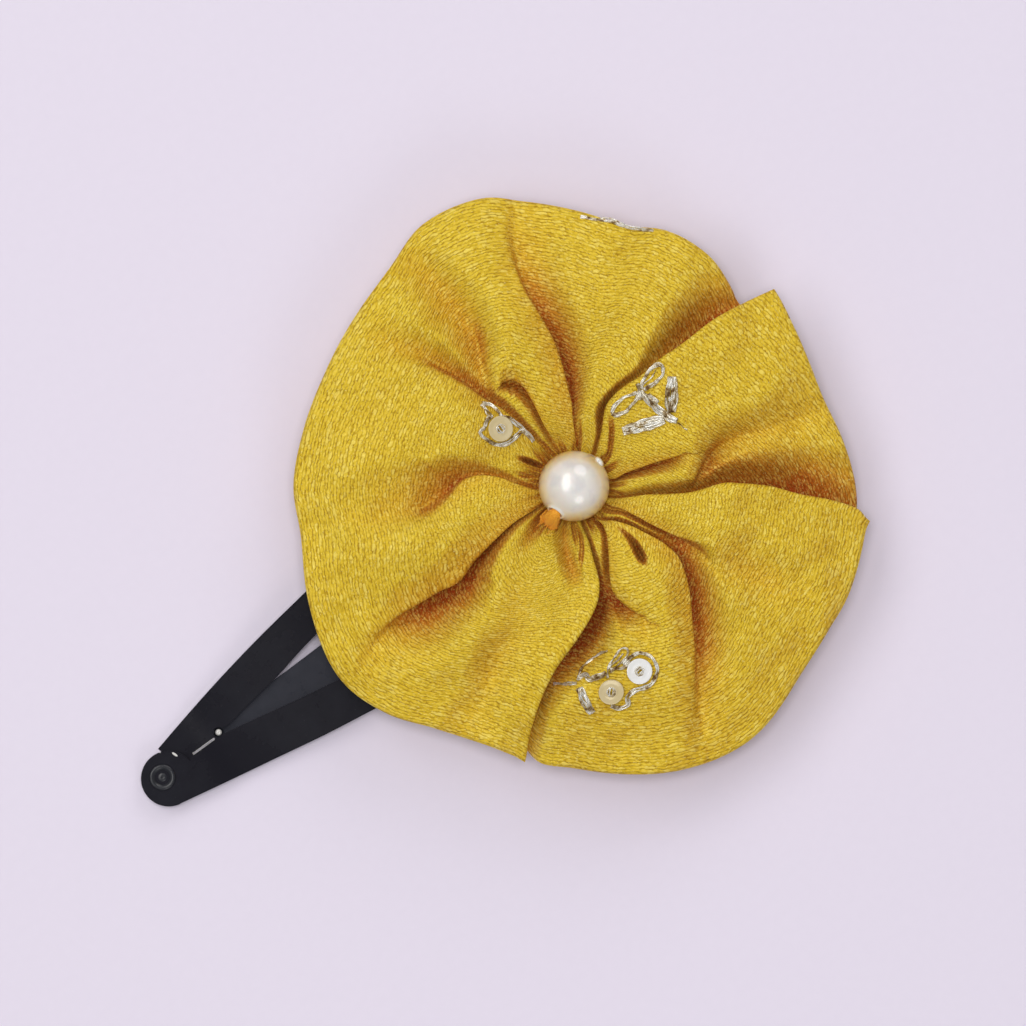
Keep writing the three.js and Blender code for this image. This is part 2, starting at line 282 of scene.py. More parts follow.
def glue_material():
    s = Shader("hot_glue")
    lumps = s.noise(s.position(), 380.0, 2.0)
    colour = s.mix(lumps, (0.62, 0.42, 0.14), (0.80, 0.62, 0.30))
    s.set(Base_Color=colour, Roughness=0.28, Normal=s.bump(lumps, 0.3, 0.0004), Subsurface_Weight=0.3)
    s.set(Subsurface_Scale=0.002)
    return s.material


SLIT_X, SLIT_Y = -52.0, 0.8  # middle of the slit between the legs at the nose; the slit is painted bright steel as painted light
SLIT_LONG, SLIT_WIDE = 3.0, 0.24
DIMPLE, DIMPLE_R = (-49.65, 1.1), 0.37  # dimple with its hole at the end of the slit, painted bright steel as painted light
STEP_GLINTS = [(-55.2, 2.0, 0.38, 0.13), (-56.5, 3.4, 0.3, 0.1)]  # painted highlights on the step's edge: x, y, half sizes
STEP_LEAN = (0.94, 0.34)  # cosine and sine of how the step, and the marks beside it, lean
# rubbed edges, partly worn paint and partly painted highlight; bright steel for the painted light on the nose;
# dust specks
EDGE_WEAR_AND_GLINT, LIT_STEEL, DUST = (0.20, 0.20, 0.215), (0.70, 0.68, 0.65), (0.12, 0.12, 0.13)


def painted_nose_light(s, place):
    """1 where the nose is painted bright steel as painted light: in the slit and the dimple, for the light seen
    there, and on the painted highlights by the step.
    """
    x, y = s.split(place)

    def squared(value, divisor):
        return s.math("POWER", s.math("DIVIDE", value, divisor), 2.0)

    def away(value, centre):
        return s.sub(value, centre * MM)

    in_length = s.math("LESS_THAN", s.math("ABSOLUTE", away(x, SLIT_X)), SLIT_LONG / 2 * MM)
    in_width = s.math("LESS_THAN", s.math("ABSOLUTE", away(y, SLIT_Y)), SLIT_WIDE / 2 * MM)
    lit_spot = s.mul(in_length, in_width)
    marks = [(*DIMPLE, DIMPLE_R, DIMPLE_R)] + STEP_GLINTS
    for centre_x, centre_y, long, wide in marks:
        east, north = away(x, centre_x), away(y, centre_y)
        lengthwise = s.sub(s.mul(east, STEP_LEAN[1]), s.mul(north, STEP_LEAN[0]))
        sideways = s.add(s.mul(east, STEP_LEAN[0]), s.mul(north, STEP_LEAN[1]))
        inside = s.math("LESS_THAN", s.add(squared(lengthwise, long * MM), squared(sideways, wide * MM)), 1.0)
        lit_spot = s.math("MAXIMUM", lit_spot, inside)
    return lit_spot


def paint_material(name, colour, lighter, with_nose_light=False, gloss=0.1):
    """Baked black enamel on steel: fine orange peel and dust, rubbed thin along the cut edges, whose
    lighter colour is partly worn paint and partly a painted highlight. On the clip's nose the slit,
    the dimple and two spots by the step are painted bright steel as painted light."""
    s = Shader(name)
    place = s.position()
    peel = s.noise(place, 1500.0, 2.0)
    rub = s.noise(place, 160.0, 5.0, 0.65)
    specks = s.noise(place, 5200.0, 2.0)
    tone = s.mix(s.ramp(rub, [(0.45, 0), (0.75, 1)]), colour, lighter)
    tone = s.mix(s.ramp(specks, [(0.72, 0), (0.78, 0.3)]), tone, DUST)
    # the rubbed edges are lighter: partly worn paint, partly painted highlight
    edge_wear_and_glint = s.mul(s.attribute("edge_wear_and_glint"), s.ramp(rub, [(0.35, 0.25), (0.6, 1)]))
    tone = s.mix(edge_wear_and_glint, tone, EDGE_WEAR_AND_GLINT)
    metal = s.mul(edge_wear_and_glint, 0.4)
    rough = s.ramp(rub, [(0.3, 0.24), (0.7, 0.32)])
    if with_nose_light:
        # painted light: bright steel in the slit and the dimple and on the painted highlights by the step
        lit_spot = painted_nose_light(s, place)
        tone = s.mix(lit_spot, tone, LIT_STEEL)
        metal = s.math("MAXIMUM", metal, s.mul(lit_spot, 0.3))
    s.set(Base_Color=tone, Roughness=rough, Metallic=metal, Normal=s.bump(peel, 0.12, 0.00006))
    s.set(Specular_IOR_Level=gloss)
    return s.material


NACRE = [(0.0, (0.77, 0.73, 0.68)), (0.2, (0.78, 0.70, 0.59)), (0.42, (0.79, 0.63, 0.38)),
         (0.8, (0.70, 0.45, 0.15))]  # from the side that faces the eye to the side that turns away


def pearl_material():
    """Pearl coat over a bead: cool grey-white on top, golden where it turns away."""
    s = Shader("pearl_coat")
    facing = s.node("ShaderNodeLayerWeight", Blend=0.5).outputs["Facing"]
    mottle = s.noise(s.position(), 420.0, 3.0)
    body = s.ramp(facing, NACRE)
    bands = s.noise(s.position(), 230.0, 1.0)
    body = s.mix(s.ramp(bands, [(0.42, 0), (0.62, 0.5)]), body, (0.90, 0.87, 0.83))
    body = s.mix(s.ramp(mottle, [(0.35, 0.35), (0.5, 0)]), body, (0.55, 0.53, 0.55))
    s.set(Base_Color=body, Roughness=0.3, Specular_IOR_Level=0.8, Normal=s.bump(mottle, 0.06, 0.0001))
    s.set(Coat_Weight=1.0, Coat_Roughness=0.16, Coat_IOR=1.75, Subsurface_Weight=0.1, Subsurface_Scale=0.001)
    return s.material


def thread_material(name, dark, light, scale):
    """Spun cotton: fibres in two tones with a soft fuzz."""
    s = Shader(name)
    fibre = s.noise(s.position(), scale, 3.0, 0.65)
    colour = s.mix(s.ramp(fibre, [(0.3, 0), (0.7, 1)]), dark, light)
    s.set(Base_Color=colour, Roughness=0.7, Normal=s.bump(fibre, 0.5, 0.00006))
    s.set(Sheen_Weight=0.25, Sheen_Roughness=0.5, Sheen_Tint=(1.0, 0.6, 0.2))
    return s.material


# bright silver runs, and brown that is partly tarnish and partly painted shade
TARNISH_AND_SHADE = [(0.34, (0.20, 0.10, 0.03)), (0.43, (0.52, 0.40, 0.22)), (0.52, (0.86, 0.80, 0.66)),
           (0.66, (0.99, 0.97, 0.90))]


def zari_material():
    """Silvered metal thread; the brown between its bright runs is partly tarnish and partly painted shade for
    the dark gaps and dull reflections along the strands.
    """
    s = Shader("metal_thread")
    place = s.position()
    runs = s.noise(place, 1100.0, 2.0, 0.6)
    wraps = s.noise(place, 4200.0, 1.0)
    colour = s.ramp(runs, TARNISH_AND_SHADE)
    rough = s.ramp(runs, [(0.4, 0.5), (0.6, 0.22)])
    s.set(Base_Color=colour, Metallic=0.7, Roughness=rough, Normal=s.bump(wraps, 0.35, 0.00005))
    return s.material


def sequin_material(name, face, rim):
    """Thin plastic sequin, pressed with faint rings and clouded by wear."""
    s = Shader(name)
    facing = s.node("ShaderNodeLayerWeight", Blend=0.5).outputs["Facing"]
    swirl = s.noise(s.position(), 700.0, 3.0)
    tint = s.mix(s.ramp(s.add(facing, s.mul(swirl, 0.5)), [(0.2, 0), (0.75, 1)]), face, rim)
    s.set(Base_Color=tint, Metallic=0.15, Roughness=0.22, Coat_Weight=0.6, Coat_Roughness=0.1)
    s.set(Normal=s.bump(swirl, 0.2, 0.0001))
    return s.material


SATIN = satin_material()
FELT = felt_material()
GLUE = glue_material()
PAINT = paint_material("black_enamel", (0.0115, 0.011, 0.0155), (0.0155, 0.0155, 0.021), with_nose_light=True)
# painted light: the tongue is the same enamel as the legs, painted lighter for the light its different slope
# catches
LIT_TONGUE_PAINT = paint_material("tongue_paint_lit", (0.027, 0.028, 0.037), (0.037, 0.038, 0.049))
PAINT_RIVET = paint_material("rivet_paint", (0.012, 0.013, 0.017), (0.018, 0.019, 0.025), True, gloss=0.7)
PEARL = pearl_material()
ORANGE = thread_material("orange_thread", (0.78, 0.27, 0.015), (0.95, 0.46, 0.04), scale=4200.0)
ZARI = zari_material()
WHITE_SEQUIN = sequin_material("white_sequin", (0.93, 0.92, 0.90), (0.80, 0.74, 0.64))
BEIGE_SEQUIN = sequin_material("beige_sequin", (0.70, 0.58, 0.34), (0.60, 0.44, 0.17))

# ---------------------------------------------------------------- the satin flower
# Plan points are (x, y) in the frame's axes, from the pearl outwards. Seen from above with +X
# to the right, the left of a path is its counter-clockwise side.

RELIEF = 1.35  # how much deeper the folds are away from the pearl
EYE_R = 3.3  # the petals' gathered edge, hidden under the pearl
ROLL = 0.5  # radius of the folded edge
LAP = 4.0  # how far a petal runs on under its neighbour
UNDER_NEIGHBOUR = 6  # how far it takes to rise again there
# height of the upper face's ridges, and of the hollow underside, by distance from the pearl
CROWN = [(3, 8.6), (5, 9.7), (8, 10.9), (13, 12), (19, 12.2), (25, 11.3), (30, 9.9), (36, 8.1)]
DISH = [(0, 2.95), (12, 2.95), (16, 3.3), (22, 4.4), (30, 5.7), (37, 6.6)]
CHUNK = 20000  # plan points measured at a time, to save memory
LIT_FROM = 114  # the light comes from this way, in degrees from +X: slopes that climb towards it get painted shade, slopes that face it a painted sheen

# Folded edges between petals, as (radius, angle).
EDGE_RIGHT_UPPER = [(3, 17), (4.5, 20), (6, 25), (9.3, 32), (11.5, 30), (14.7, 23), (17.6, 20), (20.2, 17),
                    (24.9, 14), (28.5, 11.2), (31.8, 8.8), (36, 6)]
EDGE_LOWER_RIGHT = [(3, -60), (4.1, -55), (7.6, -44), (10.5, -41), (13.3, -39), (16.7, -35), (19, -35),
                    (22.4, -36), (25.8, -38), (29.3, -39), (32.5, -40.5), (34, -42.6), (37, -45)]
EDGE_UPPER_LOWER = [(3, 243), (4.8, 246), (6.4, 249), (8.2, 249), (11.1, 249), (13.3, 246), (14.9, 242),
                    (17.2, 236), (20, 230), (22.3, 227), (25.3, 225), (28.9, 224), (32, 224), (37, 223)]


class Fold:
    """A crease in the cloth. depth is given at each point of the path. left and right are how far
    the cloth takes to rise again on each side, or lists of that. A wall side rises at once, over
    the width sharp, for share of its height, and leans over the crease by lean. pinch is how
    strongly the crease takes the painted shade; left out, it follows from how narrow the crease is."""

    def __init__(self, path, depth, left, right, wall=None, lean=0.0, sharp=0.6, share=0.62, pinch=None):
        given = (depth, left, right, sharp)
        columns = [v if isinstance(v, list) else [v] * len(path) for v in given]
        self.curve = catmull([(*point, *values) for point, *values in zip(path, *columns)], 14)
        self.wall, self.lean, self.share, self.pinch = wall, lean, share, pinch

    def sides(self, plan):
        """Distance from the crease, positive to the left, the nearest curve row, and the way left."""
        line = self.curve[:, :2]
        run = np.gradient(line, axis=0)
        run /= np.linalg.norm(run, axis=1)[:, None] + 1e-9
        near = np.empty(len(plan), int)
        for i in range(0, len(plan), CHUNK):
            part = plan[i : i + CHUNK]
            near[i : i + CHUNK] = ((part[:, None] - line[None]) ** 2).sum(2).argmin(1)
        gap = plan - line[near]
        t = run[near]
        perp = t[:, 0] * gap[:, 1] - t[:, 1] * gap[:, 0]
        along = (t * gap).sum(1)
        end = (near == 0) & (along < 0) | (near == len(line) - 1) & (along > 0)
        size = np.where(end, np.hypot(perp, along), np.abs(perp))
        return np.sign(perp) * size, self.curve[near], np.stack([-t[:, 1], t[:, 0]], 1)

    def sink(self, plan):
        """How far the crease lowers each point, how tightly it draws it, and the sideways push."""
        drop, tight, push = np.zeros(len(plan)), np.zeros(len(plan)), np.zeros((len(plan), 2))
        reach = max(self.curve[:, 3].max(), self.curve[:, 4].max()) + 3
        low, high = self.curve[:, :2].min(0) - reach, self.curve[:, :2].max(0) + reach
        inside = np.all((plan > low) & (plan < high), axis=1)
        if not inside.any():
            return drop, tight, push
        d, row, way = self.sides(plan[inside])
        on_left = d > 0
        width = np.where(on_left, row[:, 3], row[:, 4])
        t = np.clip(np.abs(d) / width, 0, 1)
        soft = (1 - smooth(t)) * 0.75 + 0.25 * (1 - t) ** 2
        walled = {"left": on_left, "right": ~on_left}.get(self.wall, np.zeros(len(d), bool))
        sharp = np.maximum(row[:, 5], 0.2)
        up_wall = np.clip(np.abs(d) / sharp, 0, 1)
        steep = (1 - up_wall) ** 1.8
        profile = np.where(walled, self.share * steep + (1 - self.share) * soft, soft)
        far = smooth((np.hypot(*plan[inside].T) - 6) / 8)
        drop[inside] = np.maximum(row[:, 2], 0) * profile * (1 + (RELIEF - 1) * far)
        if self.pinch:
            pinch = self.pinch
        elif self.wall:
            pinch = np.clip(0.9 / sharp, 0.5, 1)
        else:
            pinch = 0.85 - 0.3 * smooth((width - 1) / 2)
        tight[inside] = drop[inside] * pinch
        if self.lean:
            fade = smooth(up_wall) * (1 - smooth(np.abs(d) / 3.2)) * walled
            over = self.lean * fade * np.clip(row[:, 2], 0, 1.5)
            push[inside] = way * (over * np.where(on_left, -1, 1))[:, None]
        return drop, tight, push


def edge_fold(edge, radii, depths, width):
    """The valley where a petal comes out from under its neighbour's folded edge. width is how far
    the petal takes to rise on its own side, at each radius."""
    angles = np.radians(table(edge, np.array(radii, float)))
    path = [(r * math.cos(a), r * math.sin(a)) for r, a in zip(radii, angles)]
    return Fold(path, depths, width, UNDER_NEIGHBOUR, pinch=1.0)


UPPER_FOLDS = [
    # out from under the right petal's edge
    edge_fold(EDGE_RIGHT_UPPER, [4, 6.5, 9.3, 12, 15, 18.5, 22, 26, 31],
              [0.9, 1.3, 2.4, 1.6, 1.6, 2.6, 3.6, 3, 1.6], [0.6, 0.7, 1.1, 1, 1.4, 3.2, 5, 5.8, 6]),
    # deep valley with a leaning left edge, opening out to the rim
    Fold([(3, 3.6), (3.4, 4.1), (4.3, 6.2), (5.2, 7.7), (5.9, 9.3), (7, 12), (7.9, 15), (8.3, 18),
         (8.8, 21.3), (9.9, 24.7), (11.7, 27.8), (14.5, 31)],
         [1, 1.2, 1.6, 2.2, 2.7, 3.1, 3.1, 2.7, 2.2, 1.6, 1.1, 0.7], 3.2,
         [0.7, 0.9, 1.4, 2.2, 3.2, 4.4, 5.4, 6.2, 6.8, 6.8, 6.6, 6.4], wall="left", lean=0.45,
         sharp=[0.6] * 8 + [0.9, 1.3, 1.8, 2.2]),
    # small fold hooked round beside the pearl
    Fold([(0.8, 4.3), (1.1, 5.7), (1.4, 7.6), (1.8, 9.7), (2, 11.4), (2, 12.8), (1.4, 13.9), (0.4, 14.4),
         (-0.8, 14)], [1, 1.2, 1.5, 2, 2.5, 2.9, 2.8, 2.2, 0.6], [0.7, 0.9, 1, 1.2, 1.5, 1.9, 2.2, 2, 1.4],
         2, wall="right", lean=0.4, sharp=0.5),
    # edge of the big left fold, from the pearl out
    Fold([(-0.2, 4.4), (-0.3, 6.2), (-0.6, 8.3), (-1, 10.5), (-1.5, 12.3), (-2.1, 13.6), (-2.5, 14.8),
         (-3.2, 17.2), (-4.3, 20), (-5.7, 22.8), (-7.6, 25.4), (-9.3, 28)],
         [0.9, 1, 1.3, 1.6, 2, 2.4, 2.6, 2.5, 2.3, 1.8, 1.1, 0.3],
         [2.6, 2.8, 3, 3, 3, 3, 3, 3, 3.2, 3.6, 4, 4],
         [0.6, 0.7, 0.8, 1, 1.3, 1.8, 2.4, 3, 3.4, 3.8, 4.2, 4.4], wall="left", lean=0.35,
         sharp=[0.5, 0.5, 0.6, 0.6, 0.6, 0.6, 0.7, 0.9, 1.4, 2.2, 3, 3.4]),
    # soft valley between the left fold and the ridge at the top
    Fold([(-1.4, 15), (-0.6, 17.2), (0.4, 19), (1, 21), (1.2, 23.8), (1, 27), (0.5, 30), (0.1, 33)],
         [1.2, 2, 2.5, 2.6, 2.4, 2, 1.4, 0.8], [2.4, 3.4, 4, 4.4, 4.8, 5, 5, 5],
         [2, 2.6, 3, 3.4, 4, 4.4, 4.6, 5], wall="right", sharp=[1.2, 1.3, 1.4, 1.6, 2.2, 2.8, 3.4, 4],
         share=0.4),
    # left edge of the fold below the left side's valley
    Fold([(-3.2, 2.2), (-4.1, 3), (-5, 4), (-5.9, 5.5), (-7, 6.7), (-8.4, 7.7), (-9.5, 8.1), (-10.5, 8.2),
         (-11.8, 8), (-13.1, 8), (-14.6, 8.1), (-16.3, 8.5), (-18.5, 9.3), (-21.2, 10.4)],
         [0.8, 1, 1.2, 1.3, 1.4, 1.7, 2.2, 2.8, 3.2, 3.2, 2.9, 2.3, 1.5, 0.5], 3.4,
         [0.6, 0.7, 0.8, 1, 1.3, 2, 3, 4.2, 5.2, 6, 6.4, 6.4, 6.4, 6.4], wall="left", lean=0.3,
         sharp=[0.5, 0.5, 0.5, 0.6, 0.6, 0.6, 0.7, 0.8, 1, 1.4, 1.8, 2.4, 3, 3.4]),
    # little slot over a loop of cloth beside the pearl
    Fold([(-1.6, 3.6), (-2, 4.2), (-2.6, 5.3), (-3.2, 6.3)], [1, 2.2, 2.8, 0.4], 0.4, 0.45),
    Fold([(-2.6, 3.2), (-3.6, 4), (-4.6, 5.2)], [1, 1.2, 0.2], 0.5, 0.5),
    # long overhanging fold to the nose side
    Fold([(-3.6, 0.4), (-4.6, 0.6), (-7.3, 0.9), (-9.2, 0.8), (-11.2, 0.5), (-13.1, 0.2), (-14.9, -0.2),
         (-16.2, -0.7), (-17.6, -0.9), (-19.4, -0.6), (-21.4, -0.5), (-24, -0.4), (-26.4, -0.6),
         (-28.5, -1.2), (-30.5, -1.9), (-32.5, -2.8)],
         [1.1, 1.5, 2, 2.4, 2.8, 3.3, 3.8, 4, 4, 3.9, 3.7, 3.2, 2.4, 1.5, 0.8, 0.2],
         [0.8, 1, 1.3, 1.6, 2, 2.8, 3.8, 5, 6, 6.8, 7.2, 7.4, 7.2, 6.6, 6, 6], 3.6, wall="right", lean=0.6,
         sharp=[0.6] * 9 + [0.7, 0.8, 1, 1.4, 2, 2.6, 3]),
    # shallow valleys on the lower left run
    Fold([(-3.5, -0.4), (-4.8, -0.8), (-6.6, -1.5), (-9, -2.6)], [1.1, 1.7, 1.6, 0.2], 1.1, 1.3),
    Fold([(-10, -5.4), (-12.8, -7), (-17.4, -10.4), (-23.3, -13.8), (-28, -16)], [0.1, 0.7, 1.1, 0.9, 0.5],
         4, 3.6),
    # pocket beside the last tight pleats
    Fold([(-3.2, -2.8), (-4.4, -4.2), (-5.3, -6.2), (-5.9, -8.2), (-6.5, -9.8)], [0.9, 1.2, 1.5, 1.3, 0.1],
         1.3, 1.6),
    Fold([(-2.4, -3.4), (-2.7, -5), (-3.9, -6.8), (-5.4, -8.3)], [0.9, 1, 0.9, 0.2], 0.4, 0.4),
]

RIGHT_FOLDS = [
    # out from under the lower petal's edge
    edge_fold(EDGE_LOWER_RIGHT, [4, 6, 9, 12, 14.5, 17, 20, 24, 28, 33],
              [1.1, 1.3, 1.5, 1.9, 2.8, 3.8, 4, 3.6, 3, 2.4], [0.8, 1, 1.4, 1.8, 2.4, 4.2, 5.8, 7.4, 8.4, 8.6]),
    # the edge that turns down into that valley
    Fold([(10.6, -8.2), (12, -7.6), (13.3, -6.9), (14.8, -6.3), (16.4, -6.1), (18.5, -6.5), (21.5, -7.6),
         (25.5, -8.8), (30, -10)], [0.5, 1.8, 2.6, 2.9, 2.8, 2.3, 1.8, 1.3, 0.8],
         [1.6, 2, 2.6, 3, 3.6, 4, 4.4, 4.6, 4.6], [1.5, 2.4, 3.4, 4.4, 5.4, 6.2, 7, 7.6, 8], wall="left",
         sharp=[0.7, 0.8, 0.9, 1.2, 1.8, 2.6, 3.2, 4, 4], share=0.5, lean=0.25),
    # crease under the sprig's plateau
    Fold([(3.6, -1.9), (4.6, -2.2), (5.6, -2.3), (7.3, -2.8), (9, -3.3), (10.6, -3.9), (12.6, -4.6)],
         [1.2, 1.6, 2, 2.2, 2.3, 2, 0.8], 2.2, [0.6, 0.8, 1, 1.3, 1.7, 2, 2.2], wall="left", lean=0.35),
    # leaflet of cloth by the pearl
    Fold([(4, 0.2), (5.4, 0.6), (6.4, 1.6), (7.4, 2.8), (8, 3.9)], [1, 1.3, 1.4, 1.1, 0.3], 0.4, 0.35),
]

LOWER_FOLDS = [
    # out from under the upper petal's edge
    edge_fold(EDGE_UPPER_LOWER, [4, 6, 8.5, 11, 13, 15, 17.5, 20, 23, 27, 32],
              [0.9, 1.1, 1.4, 2.2, 3.3, 4, 4, 3.2, 2.4, 1.8, 1.5],
              [0.5, 0.6, 0.8, 1.8, 3.2, 4.4, 5, 4.6, 3.6, 2.2, 1.8]),
    # tight pleat that opens into the same valley
    Fold([(-1.2, -3.7), (-0.5, -4.8), (-0.2, -6), (-0.5, -7.2), (-1.4, -8.8), (-2.6, -10.6), (-3.4, -12.2),
         (-3.4, -13.8), (-3, -15.2), (-2.3, -16.8)], [1.2, 1.5, 1.7, 1.8, 2.1, 2.6, 3.1, 3.2, 2.4, 0.8],
         2.2, [0.6, 0.7, 0.8, 0.9, 1.2, 1.8, 2.8, 3.6, 3.8, 3.8], wall="left", lean=0.45, sharp=0.6),
    # slot between two pleats
    Fold([(1.2, -7), (1.4, -8.4), (1.5, -9.8), (1.4, -11.2), (1.3, -11.9)], [0.4, 1.4, 2.8, 3.3, 0.2],
         [0.2, 0.3, 0.5, 0.6, 0.35], [0.2, 0.3, 0.55, 0.6, 0.35]),
    # thin crease, then the long band's leaning edge down to the rim
    Fold([(0.2, -3.9), (0.9, -5.1), (1.6, -5.9), (2.3, -7.2), (3.1, -8.8), (3.9, -10.4), (4.5, -12),
         (4.7, -14), (3.7, -17.2), (2, -20.3), (0.3, -23.4), (-1.6, -26.4), (-3.4, -29.4), (-5.2, -32.6)],
         [1, 1.2, 1.3, 1.5, 1.7, 2.1, 2.6, 3.1, 3.4, 3.3, 2.8, 2.1, 1.4, 0.7],
         [0.5, 0.5, 0.6, 0.8, 1.2, 2, 3.2, 4.3, 5, 5.2, 5.2, 5, 5, 5], 3.2, wall="right", lean=0.45,
         sharp=[0.5] * 8 + [0.6, 0.7, 0.9, 1.3, 2, 2.6]),
    # crease under the right-hand plateau
    Fold([(1.3, -3.9), (1.9, -4.5), (2.8, -5.4), (3.7, -6.8), (4.5, -8.5), (5.4, -10.2), (6.1, -11.8),
         (6.8, -13.3), (7.3, -14.9), (7.5, -17)], [1.1, 1.3, 1.5, 1.7, 2, 2.3, 2.5, 2.4, 1.8, 0.8], 2.6,
         [0.5, 0.6, 0.7, 0.9, 1.2, 1.6, 2.1, 2.6, 3, 3.2], wall="left", lean=0.35,
         sharp=[0.5] * 6 + [0.7, 1.1, 1.8, 2.4]),
    # faint hollow in the right-hand plateau
    Fold([(7.8, -15.5), (9.6, -18.2), (11.6, -21.6), (13, -25)], [0.4, 1.3, 1.3, 0.4], 4.4, 4.4),
]

PETALS = {
    "upper_petal": {
        "start": EDGE_RIGHT_UPPER, "end": EDGE_UPPER_LOWER, "folds": UPPER_FOLDS, "columns": 330, "weave": 0,
        "rim": [(-8, 28.2), (2, 28.2), (11.5, 28.2), (16, 29.1), (24, 30.6), (34, 31.1), (43, 30.4),
            (54, 31.6), (64, 33.1), (72, 34.6), (84, 34.6), (94, 32.7), (104, 31.8), (119, 31.3),
            (132, 31.6), (144, 32.1), (155, 31.8), (168, 33.2), (183, 34.7), (194, 33.8), (204, 32),
            (214, 31.3), (221, 31.6), (224, 32.1), (228, 32.4)],
    },
    "right_petal": {
        "start": EDGE_LOWER_RIGHT, "end": EDGE_RIGHT_UPPER, "folds": RIGHT_FOLDS, "columns": 130, "weave": 25,
        "rim": [(-60, 32.6), (-50, 32.6), (-42, 32.6), (-36, 32.3), (-26, 31.2), (-17, 30.3), (-9, 30.4),
            (0, 31.1), (8, 32.1), (14, 32.6)],
    },
    "lower_petal": {
        "start": EDGE_UPPER_LOWER, "end": EDGE_LOWER_RIGHT, "folds": LOWER_FOLDS, "columns": 210, "weave": 0,
        "rim": [(206, 28.8), (216, 29), (222, 30), (227, 31.9), (234, 32.3), (244, 33.5), (254, 34.7),
            (264, 35.4), (272, 35.2), (284, 33.8), (294, 33.5), (301, 33.8), (308, 33.8), (315, 33.8),
            (318, 34.2), (324, 34.4)],
    },
}

rng = np.random.default_rng(7)


def small_pleats(first, last, every, far):
    """Tight little creases drawn in at the thread, between two angles."""
    folds = []
    angle = first
    while angle < last:
        a, bend = math.radians(angle), rng.uniform(-0.10, 0.10)
        out = rng.uniform(6.0, far)
        path = [(r * math.cos(a + bend * (r - 4) / 3), r * math.sin(a + bend * (r - 4) / 3))
                for r in np.linspace(3.4, out, 5)]
        deep = rng.uniform(0.8, 1.5)
        folds.append(Fold(path, [deep, deep, 0.75 * deep, 0.4 * deep, 0], 0.45, 0.5))
        angle += every * rng.uniform(0.7, 1.3)
    return folds


UPPER_FOLDS += small_pleats(48, 240, 10, 8.5)
RIGHT_FOLDS += small_pleats(-45, 14, 13, 7.5)
LOWER_FOLDS += small_pleats(-116, -58, 11, 8.0)


RIPPLES = []  # slight unevenness of hand-gathered cloth: size, direction with frequency, phase
for wave in (14, 11, 8, 6, 4.5, 3.4):
    for turn in rng.uniform(0, 2 * math.pi, 3):
        way = 2 * math.pi / wave * np.array([math.cos(turn), math.sin(turn)])
        RIPPLES.append((0.009 * wave, way, rng.uniform(0, 6)))


def crown_height(plan, folds):
    """The cloth's upper face, the sideways push of its leaning folds, and how far it is creased."""
    radius = np.hypot(plan[:, 0], plan[:, 1])
    total, creased, push = np.zeros(len(plan)), np.zeros(len(plan)), np.zeros_like(plan)
    for fold in folds:
        drop, tight, side = fold.sink(plan)
        total += drop**3
        creased += tight**3
        push += side
    ripple = sum(size * np.sin(plan @ way + turn) for size, way, turn in RIPPLES)
    height = table(CROWN, radius) - total ** (1 / 3) + ripple * smooth((radius - 5) / 8)
    return height, push, creased ** (1 / 3)


def side_angles(petal, radius):
    """Angles of a petal's two sides at a radius: tucked under at its start, folded at its end."""
    start, end = table(petal["start"], radius), table(petal["end"], radius)
    end = np.where(end < start, end + 360, end)
    tuck = np.degrees(np.minimum(LAP, 0.32 * radius) / radius)
    return start - tuck, end


def slopes(plan, height):
    """How steeply the cloth climbs along X and along Y, over the grid of a petal."""
    x_v, x_u = np.gradient(plan[..., 0])
    y_v, y_u = np.gradient(plan[..., 1])
    h_v, h_u = np.gradient(height)
    area = x_u * y_v - x_v * y_u
    area = np.where(np.abs(area) < 1e-6, 1e-6, area)
    return (h_u * y_v - h_v * y_u) / area, (x_u * h_v - x_v * h_u) / area


EDGE_STEPS = np.array([0, 0.04, 0.13, 0.27, 0.45, 0.7, 1.0])  # rows and columns crowd to the edges
INNER_ROWS = 92
SIZE_R = 30.0  # radius at which a petal's width in degrees is taken
RIM_R = 33  # usual radius of the rim, where the columns are spaced
WEAVE_R = 18  # radius at which the weave is true to size


def petal_grid(petal):
    """Angle and radius of each point of a petal's grid, from the eye out and from side to side."""
    first, last = side_angles(petal, np.array([SIZE_R]))
    step = RIM_R * np.radians(last[0] - first[0]) / petal["columns"]
    run = petal["columns"] * step
    plain_steps = np.arange(1.0 + step, run - 1.0 - step / 2, step)
    shares = np.concatenate([EDGE_STEPS, plain_steps, run - EDGE_STEPS[::-1]]) / run
    inner = np.linspace(0, 1, INNER_ROWS)
    n_v = INNER_ROWS + len(EDGE_STEPS) - 1
    alpha, radius = np.zeros((n_v, len(shares))), np.zeros((n_v, len(shares)))
    for k, u in enumerate(shares):
        r = np.full(n_v, SIZE_R)
        for _ in range(3):  # the rim depends on the angle, and the angle on the radius
            angles = lerp(*side_angles(petal, r), u)
            rim = table(petal["rim"], angles[-1:])[0]
            r = np.concatenate([lerp(EYE_R, rim - EDGE_STEPS[-1], inner), rim - EDGE_STEPS[::-1][1:]])
        alpha[:, k], radius[:, k] = lerp(*side_angles(petal, r), u), r
    return alpha, radius


